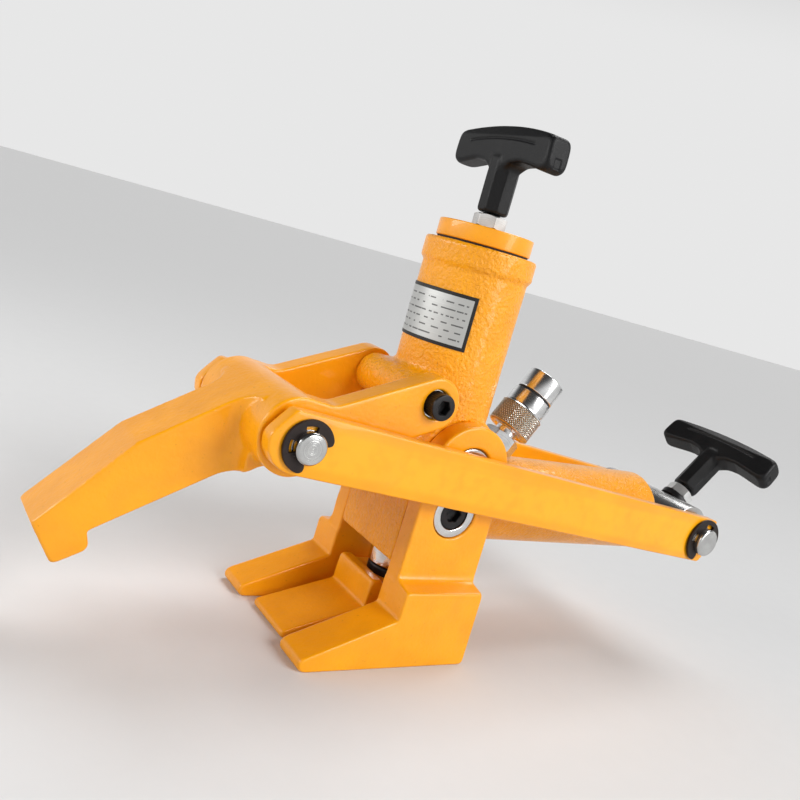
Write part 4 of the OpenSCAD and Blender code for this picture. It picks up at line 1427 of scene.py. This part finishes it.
class BREAKER_OT_grips(bpy.types.Operator):
    """Both T grips with their studs, jam nuts and washer"""

    bl_idname = "breaker.grips"
    bl_label = "T grips"

    def execute(self, context):
        upright = Matrix.Identity(4)
        leaning = placed_grip()
        top_low, top_high = (value.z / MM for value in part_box("top_grip_stud"))
        seat, washer_t, nut_h = 19.5, 4.5, 8.0
        stem_foot = seat + washer_t + nut_h + 2
        turned_grip = leaning @ Matrix.Rotation(CLAMP_GRIP_TURN, 4, "Z")
        for name, place, foot, stem, half, body in (
            ("top_grip", upright, TOP_GRIP_FOOT, 30.0, 46.0, "frame"),
            ("clamp_grip", turned_grip, stem_foot, 36.0, 49.5, "clamp_ram"),
        ):
            mesh = soften_grip(name, place, foot, stem, half)
            add_piece(name + "_moulded", mesh, "grip_plastic", body, [name])
        for name, low, high, place, body in (
            ("top_grip_stud", top_low, top_high, upright, "frame"),
            ("clamp_grip_stud", 9.0, stem_foot + 22, leaning, "clamp_ram"),
        ):
            stud = threaded_stud(name, low, high, place)
            add_piece(name + "_threaded", smooth(stud), "black_oxide", body, [name])
        nut_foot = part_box("top_grip_nut")[0].z / MM
        twelve = Matrix.Rotation(math.radians(12), 4, "Z")
        for name, place, body in (
            ("top_grip_nut", Matrix.Translation((0, 0, nut_foot)) @ twelve, "frame"),
            ("clamp_grip_nut", leaning @ Matrix.Translation((0, 0, seat + washer_t)), "clamp_ram"),
        ):
            add_piece(name + "_plated", smooth(jam_nut(place), 25), "zinc", body, [name])
        ring = [(6.1, seat), (11.5, seat), (11.5, seat + washer_t), (6.1, seat + washer_t)]
        washer = lathe("washer", ring, 0.5, closed=True, place=leaning)
        replaced = ["clamp_grip_washer"]
        washer = smooth(washer)
        add_piece("clamp_grip_washer_flat", washer, "black_oxide", "clamp_ram", replaced)
        return {"FINISHED"}


def placed_grip():
    """The clamp grip's own frame: its foot on the crossbar's axis, its Z along the stud, its bar along Y."""
    lean = math.atan2(CLAMP_GRIP_AXIS.x, CLAMP_GRIP_AXIS.z)
    return Matrix.Translation(CLAMP_GRIP_FOOT) @ Matrix.Rotation(lean, 4, "Y")


# ---- rams ----


class BREAKER_OT_rams(bpy.types.Operator):
    """Push rod, clamp rod, guide bush, gland and wipers"""

    bl_idname = "breaker.rams"
    bl_label = "Rams"

    def execute(self, context):
        low, high = (value.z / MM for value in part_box("push_rod"))
        rod_profile = [(0, low), (12, low), (12, 42), (16, 43)]
        rod_profile += [(16, high - 20), (10, high - 20), (10, high), (0, high)]
        piece = smooth(lathe("push_rod", rod_profile, 0.6))
        add_piece("push_rod_ground", piece, "rod_chrome", "push_ram", ["push_rod"])
        wiper = [(16.05, 57.4), (16.6, 56), (19.6, 56), (21, 58), (21, 62), (16.8, 62), (16.05, 60.4)]
        piece = smooth(lathe("push_wiper", wiper, 0.5, closed=True))
        add_piece("push_wiper_lip", piece, "rubber", "frame", ["push_wiper"])
        bush = [(16.05, 62), (21, 62), (21, 112), (16.05, 112)]
        piece = smooth(lathe("push_guide_bush", bush, 0.6, closed=True))
        add_piece("push_guide_bush_turned", piece, "bronze", "frame", ["push_guide_bush"])
        low, high = (value.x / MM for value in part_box("clamp_rod"))
        shoulder, neck = low + 18, CROSSBAR.x - 19
        rod_profile = [(0, low), (8, low), (8, shoulder), (12, shoulder), (12, neck), (9, neck), (9, high)]
        rod_profile += [(4, high), (4, high - 15), (0, high - 15)]
        along_x = placed((1, 0, 0), (0, 0, CROSSBAR.z))
        piece = smooth(lathe("clamp_rod", rod_profile, 0.4, place=along_x))
        add_piece("clamp_rod_ground", piece, "clamp_rod_chrome", "clamp_ram", ["clamp_rod"])
        gland = [(12.1, 196), (24.4, 196), (24.4, 212), (15.5, 212), (15.5, 208), (12.1, 208)]
        piece = smooth(lathe("clamp_gland", gland, 0.7, closed=True, place=along_x))
        add_piece("clamp_gland_turned", piece, "clamp_rod_chrome", "frame", ["clamp_gland"])
        wiper = [(12.1, 209), (15.4, 208), (15.4, 212), (13.4, 213), (12.1, 211.6)]
        piece = smooth(lathe("clamp_wiper", wiper, 0.4, closed=True, place=along_x))
        add_piece("clamp_wiper_lip", piece, "rubber", "frame", ["clamp_wiper"])
        return {"FINISHED"}


# ---- coupler ----


class BREAKER_OT_coupler(bpy.types.Operator):
    """Hydraulic coupler with its knurled collar"""

    bl_idname = "breaker.coupler"
    bl_label = "Coupler"

    def execute(self, context):
        hardware = context.scene.breaker_hardware
        place = placed(COUPLER_AXIS, COUPLER_BASE)
        self.adapter(place)
        body = [(3, 21.5), (11.4, 21.5), (11.4, 53), (13.7, 53), (13.7, 68)]
        body += [(9, 68), (9, 54), (5.1, 54), (5.1, 34), (3, 34)]
        piece = smooth(lathe("coupler_body", body, 0.9, closed=True, steps=160, place=place))
        add_piece("coupler_body_turned", piece, "coupler_chrome", "frame", ["coupler_body"])
        self.collar(hardware, place)
        ring = [(11.4, 51.7), (13.4, 51.7), (13.4, 53), (11.4, 53)]
        piece = smooth(lathe("coupler_ring", ring, 0.4, closed=True, place=place))
        add_piece("coupler_ring_rubber", piece, "rubber", "frame", ["coupler_ring"])
        poppet = [(0, 45), (2.4, 45), (2.4, 48), (5, 48), (5, 51), (3, 53.5), (0, 53.5)]
        piece = smooth(lathe("coupler_poppet", poppet, 0.4, place=place))
        replaced = ["coupler_poppet"]
        add_piece("coupler_poppet_turned", piece, "coupler_chrome", "coupler_poppet", replaced)
        return {"FINISHED"}

    def adapter(self, place):
        """The nipple that screws into the casting, with its hexagon."""
        radius = 13.6
        flat = radius * math.cos(math.pi / 6) - 0.4

        def profile(angle):
            side = hexagon(radius, angle)
            drop = (side - flat) * math.tan(math.radians(30))
            return (
                [(3, -5), (7.4, -5), (8, -4.4), (8, 7), (flat - 0.4, 7), (flat, 7.08), (side, 7 + drop)]
                + [(side, 18 - drop), (flat, 17.92), (flat - 0.4, 18), (8, 18), (8, 21.5), (3, 21.5)]
            )

        piece = smooth(turned("coupler_adapter", profile, 144, closed=True, place=place), 25)
        add_piece("coupler_adapter_hex", piece, "coupler_chrome", "frame", ["coupler_adapter"])

    def collar(self, hardware, place):
        """The sliding collar: a turned blank, with a knurl pressed into its thick end."""
        band_low, band_high, radius = 23.2, 38.8, 16.0
        rows = 72
        band = [(radius, z) for z in np.linspace(band_low, band_high, rows)]
        blank = [(11.5, 22), (14.3, 22), (15.2, 22.4), (15.8, 22.9)] + band
        blank += [(15.8, 39.2), (15.0, 39.8), (14.65, 40.3), (14.6, 41)]
        blank += [(14.6, 50.7), (14.4, 51.2), (13.9, 51.4), (11.5, 51.4)]
        mesh = turned("collar_blank", lambda angle: blank, 432, closed=True)
        diamonds = round(math.tau * radius * MM / hardware.knurl_pitch)
        mesh = grow(
            "press_knurl",
            mesh,
            Diamonds=float(diamonds),
            Pitch=hardware.knurl_pitch,
            Depth=hardware.knurl_depth,
            Low=band_low * MM,
            High=band_high * MM,
            Radius=radius * MM,
            Material=finish("knurled_zinc"),
        )
        move_mm(mesh, place)
        replaced = ["coupler_collar"]
        knurled = add_piece(
            "coupler_collar_knurled", smooth(mesh, 40), "knurled_zinc", "coupler_collar", replaced
        )
        knurled.data.materials.append(finish("coupler_chrome"))
        axis = np.array(COUPLER_AXIS)
        base = np.array(COUPLER_BASE)
        for face in knurled.data.polygons:
            height = (np.array(face.center) / MM - base) @ axis
            if height > band_high + 0.3:
                face.material_index = 1


# ---- springs ----


class BREAKER_OT_springs(bpy.types.Operator):
    """Return springs of both rams and the poppet's spring"""

    bl_idname = "breaker.springs"
    bl_label = "Springs"

    def execute(self, context):
        down = Vector((0, 0, 1))
        push_foot = Vector((0, 0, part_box("push_return_spring")[0].z / MM))
        clamp_low, clamp_high = (value.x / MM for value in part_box("clamp_return_spring"))
        clamp_foot = Vector((clamp_high, 0, CROSSBAR.z))
        poppet_foot = COUPLER_BASE + 34.2 * COUPLER_AXIS
        push_length = (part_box("push_return_spring")[1].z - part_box("push_return_spring")[0].z) / MM
        clamp_length = clamp_high - clamp_low
        back = Vector((-1, 0, 0))
        for name, joint, axis, foot, radius, wire, length, turns in (
            ("push_return_spring", "push_ram_slide", down, push_foot, 20, 2, push_length, 6),
            ("clamp_return_spring", "clamp_ram_slide", back, clamp_foot, 17.5, 2, clamp_length, 9),
            ("poppet_spring", "coupler_poppet_slide", COUPLER_AXIS, poppet_foot, 3.7, 0.6, 13.5, 5),
        ):
            mesh = grow(
                "wind_spring",
                bpy.data.meshes.new(name),
                Radius=radius * MM,
                Wire=wire * MM,
                Length=length * MM,
                Turns=float(turns),
                Material=finish("spring_steel"),
            )
            place = placed(axis, foot)
            place.translation *= MM
            mesh.transform(place)
            spring = add_piece(name + "_wound", smooth(mesh), "spring_steel", "frame", [name])
            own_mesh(spring)
        return {"FINISHED"}


class BREAKER_OT_plate(bpy.types.Operator):
    """Blank name plate bent round the push cylinder"""

    bl_idname = "breaker.plate"
    bl_label = "Name plate"

    def execute(self, context):
        low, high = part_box("name_plate")
        bottom, top = low.z / MM, high.z / MM
        outer = -low.x / MM
        inner = outer - 0.7
        half = math.atan2(high.y, -high.x)
        edge = 0.25
        section = [(inner, bottom), (outer - edge, bottom), (outer, bottom + edge)]
        section += [(outer, z) for z in np.linspace(bottom + 2, top - 2, 12)]
        section += [(outer, top - edge), (outer - edge, top), (inner, top)]
        steps = 96
        angles = np.linspace(math.pi - half, math.pi + half, steps + 1)
        points = [(r * math.cos(a), r * math.sin(a), z) for a in angles for r, z in section]
        count = len(section)
        faces = []
        for i in range(steps):
            here, there = i * count, (i + 1) * count
            for j in range(count):
                k = (j + 1) % count
                faces.append((here + j, there + j, there + k, here + k))
        faces += [tuple(range(count)), tuple(steps * count + j for j in range(count))]
        mesh = to_mesh("name_plate", points, faces)
        add_piece("name_plate_foil", smooth(mesh), "plate_foil", "frame", ["name_plate"])
        return {"FINISHED"}


class BREAKER_OT_inner_parts(bpy.types.Operator):
    """Finishes of the pistons, seals and set screw, which keep their frame shapes"""

    bl_idname = "breaker.inner_parts"
    bl_label = "Inner parts"

    def execute(self, context):
        for name, finish_name in (
            ("push_piston", "crossbar_steel"),
            ("clamp_piston", "crossbar_steel"),
            ("push_piston_seal", "rubber"),
            ("clamp_piston_seal", "rubber"),
            ("foot_set_screw", "black_oxide"),
        ):
            for slot in frame["nodes"][name].material_slots:
                slot.material = finish(finish_name)
        return {"FINISHED"}


# ---- stage ----


def far_light(name, towards, strength, spread):
    """A large light far away, in the direction towards, as wide as the angle spread in degrees."""
    data = bpy.data.lights.new(name, "SUN")
    data.energy = strength
    data.angle = math.radians(spread)
    lamp = link(bpy.data.objects.new(name, data))
    lamp.location = Vector(towards).normalized() * 2
    lamp.rotation_euler = (-Vector(towards)).to_track_quat("-Z", "Y").to_euler()


def standing_panel(name, place, power):
    """An upright light panel that faces the tool and isn't seen itself."""
    data = bpy.data.lights.new(name, "AREA")
    data.shape = "RECTANGLE"
    data.size, data.size_y = 0.26, 1.1
    data.energy = power
    lamp = link(bpy.data.objects.new(name, data))
    lamp.location = place
    lamp.rotation_euler = Vector((-place[0], -place[1], 0)).to_track_quat("-Z", "Z").to_euler()
    lamp.visible_camera = False


class BREAKER_OT_stage(bpy.types.Operator):
    """Floor, studio lights and camera"""

    bl_idname = "breaker.stage"
    bl_label = "Stage"

    def execute(self, context):
        settings = context.scene.breaker_stage
        self.floor(settings)
        self.lights(context, settings)
        self.camera(context, settings)
        context.scene.view_settings.view_transform = "Standard"
        return {"FINISHED"}

    def floor(self, settings):
        """A wide sheet of paper."""
        reach = 60.0
        mesh = bpy.data.meshes.new("floor")
        corners = [(-reach, -reach, 0), (reach, -reach, 0), (reach, reach, 0), (-reach, reach, 0)]
        mesh.from_pydata(corners, [], [(0, 1, 2, 3)])
        mesh.materials.append(floor_finish("studio_paper", settings.floor))
        link(bpy.data.objects.new("floor", mesh))

    def lights(self, context, settings):
        world = bpy.data.worlds.new("studio")
        world.use_nodes = True
        tree = world.node_tree
        background = tree.nodes["Background"]
        background.inputs["Color"].default_value = (1, 1, 1, 1)
        way = node(tree, "ShaderNodeTexCoord").outputs["Generated"]
        height = node(tree, "ShaderNodeSeparateXYZ", None, Vector=way).outputs[2]
        strength = remap(tree, height, 0.28, 0.62, settings.wall, settings.ceiling)
        tree.links.new(strength, background.inputs["Strength"])
        context.scene.world = world
        far_light("key", (0.32, -0.78, 0.54), settings.key, 26)
        far_light("top", (0.5, 0.25, 0.83), settings.top, 30)
        standing_panel("right_panel", (0.62, -0.92, 0.55), settings.panel)
        standing_panel("left_panel", (-1.02, 0.2, 0.55), 1.5 * settings.panel)

    def camera(self, context, settings):
        heading, pitch, roll = settings.heading, settings.pitch, settings.roll
        forward = Vector(
            (math.sin(heading) * math.cos(pitch), math.cos(heading) * math.cos(pitch), math.sin(pitch))
        )
        level = Vector((math.cos(heading), -math.sin(heading), 0))
        upright = level.cross(forward)
        right = level * math.cos(roll) + upright * math.sin(roll)
        up = right.cross(forward)
        data = bpy.data.cameras.new("camera")
        data.lens = settings.lens
        data.sensor_width = 36.0
        data.clip_start = 0.02
        camera = link(bpy.data.objects.new("camera", data))
        turn = Matrix((right, up, -forward)).transposed().to_4x4()
        camera.matrix_world = Matrix.Translation(settings.camera_place) @ turn
        context.scene.camera = camera


STEPS = (
    BREAKER_OT_body,
    BREAKER_OT_cap,
    BREAKER_OT_plate,
    BREAKER_OT_legs,
    BREAKER_OT_jaw,
    BREAKER_OT_side_links,
    BREAKER_OT_pins,
    BREAKER_OT_rings,
    BREAKER_OT_fasteners,
    BREAKER_OT_grips,
    BREAKER_OT_foot,
    BREAKER_OT_rams,
    BREAKER_OT_coupler,
    BREAKER_OT_springs,
    BREAKER_OT_inner_parts,
    BREAKER_OT_stage,
)


class BREAKER_PT_panel(bpy.types.Panel):
    """Lists the bead breaker's steps and sizes"""

    bl_idname = "BREAKER_PT_panel"
    bl_label = "Bead breaker"
    bl_space_type = "VIEW_3D"
    bl_region_type = "UI"
    bl_category = "Bead breaker"

    def draw(self, context):
        for step in STEPS:
            self.layout.operator(step.bl_idname)
        for name in SETTINGS:
            group = getattr(context.scene, name)
            box = self.layout.box()
            for key in group.bl_rna.properties.keys():
                if key not in ("rna_type", "name"):
                    box.prop(group, key)


SETTINGS = {
    "breaker_castings": BreakerCastings,
    "breaker_hardware": BreakerHardware,
    "breaker_grips": BreakerGrips,
    "breaker_stage": BreakerStage,
}


def register():
    for cls in (*SETTINGS.values(), *STEPS, BREAKER_PT_panel):
        bpy.utils.register_class(cls)
    for name, cls in SETTINGS.items():
        setattr(bpy.types.Scene, name, bpy.props.PointerProperty(type=cls))


def unregister():
    for name in SETTINGS:
        delattr(bpy.types.Scene, name)
    for cls in reversed((*SETTINGS.values(), *STEPS, BREAKER_PT_panel)):
        bpy.utils.unregister_class(cls)


def main():
    register()
    for step in STEPS:
        getattr(bpy.ops.breaker, step.bl_idname.split(".")[1])()


if __name__ == "__main__":
    main()
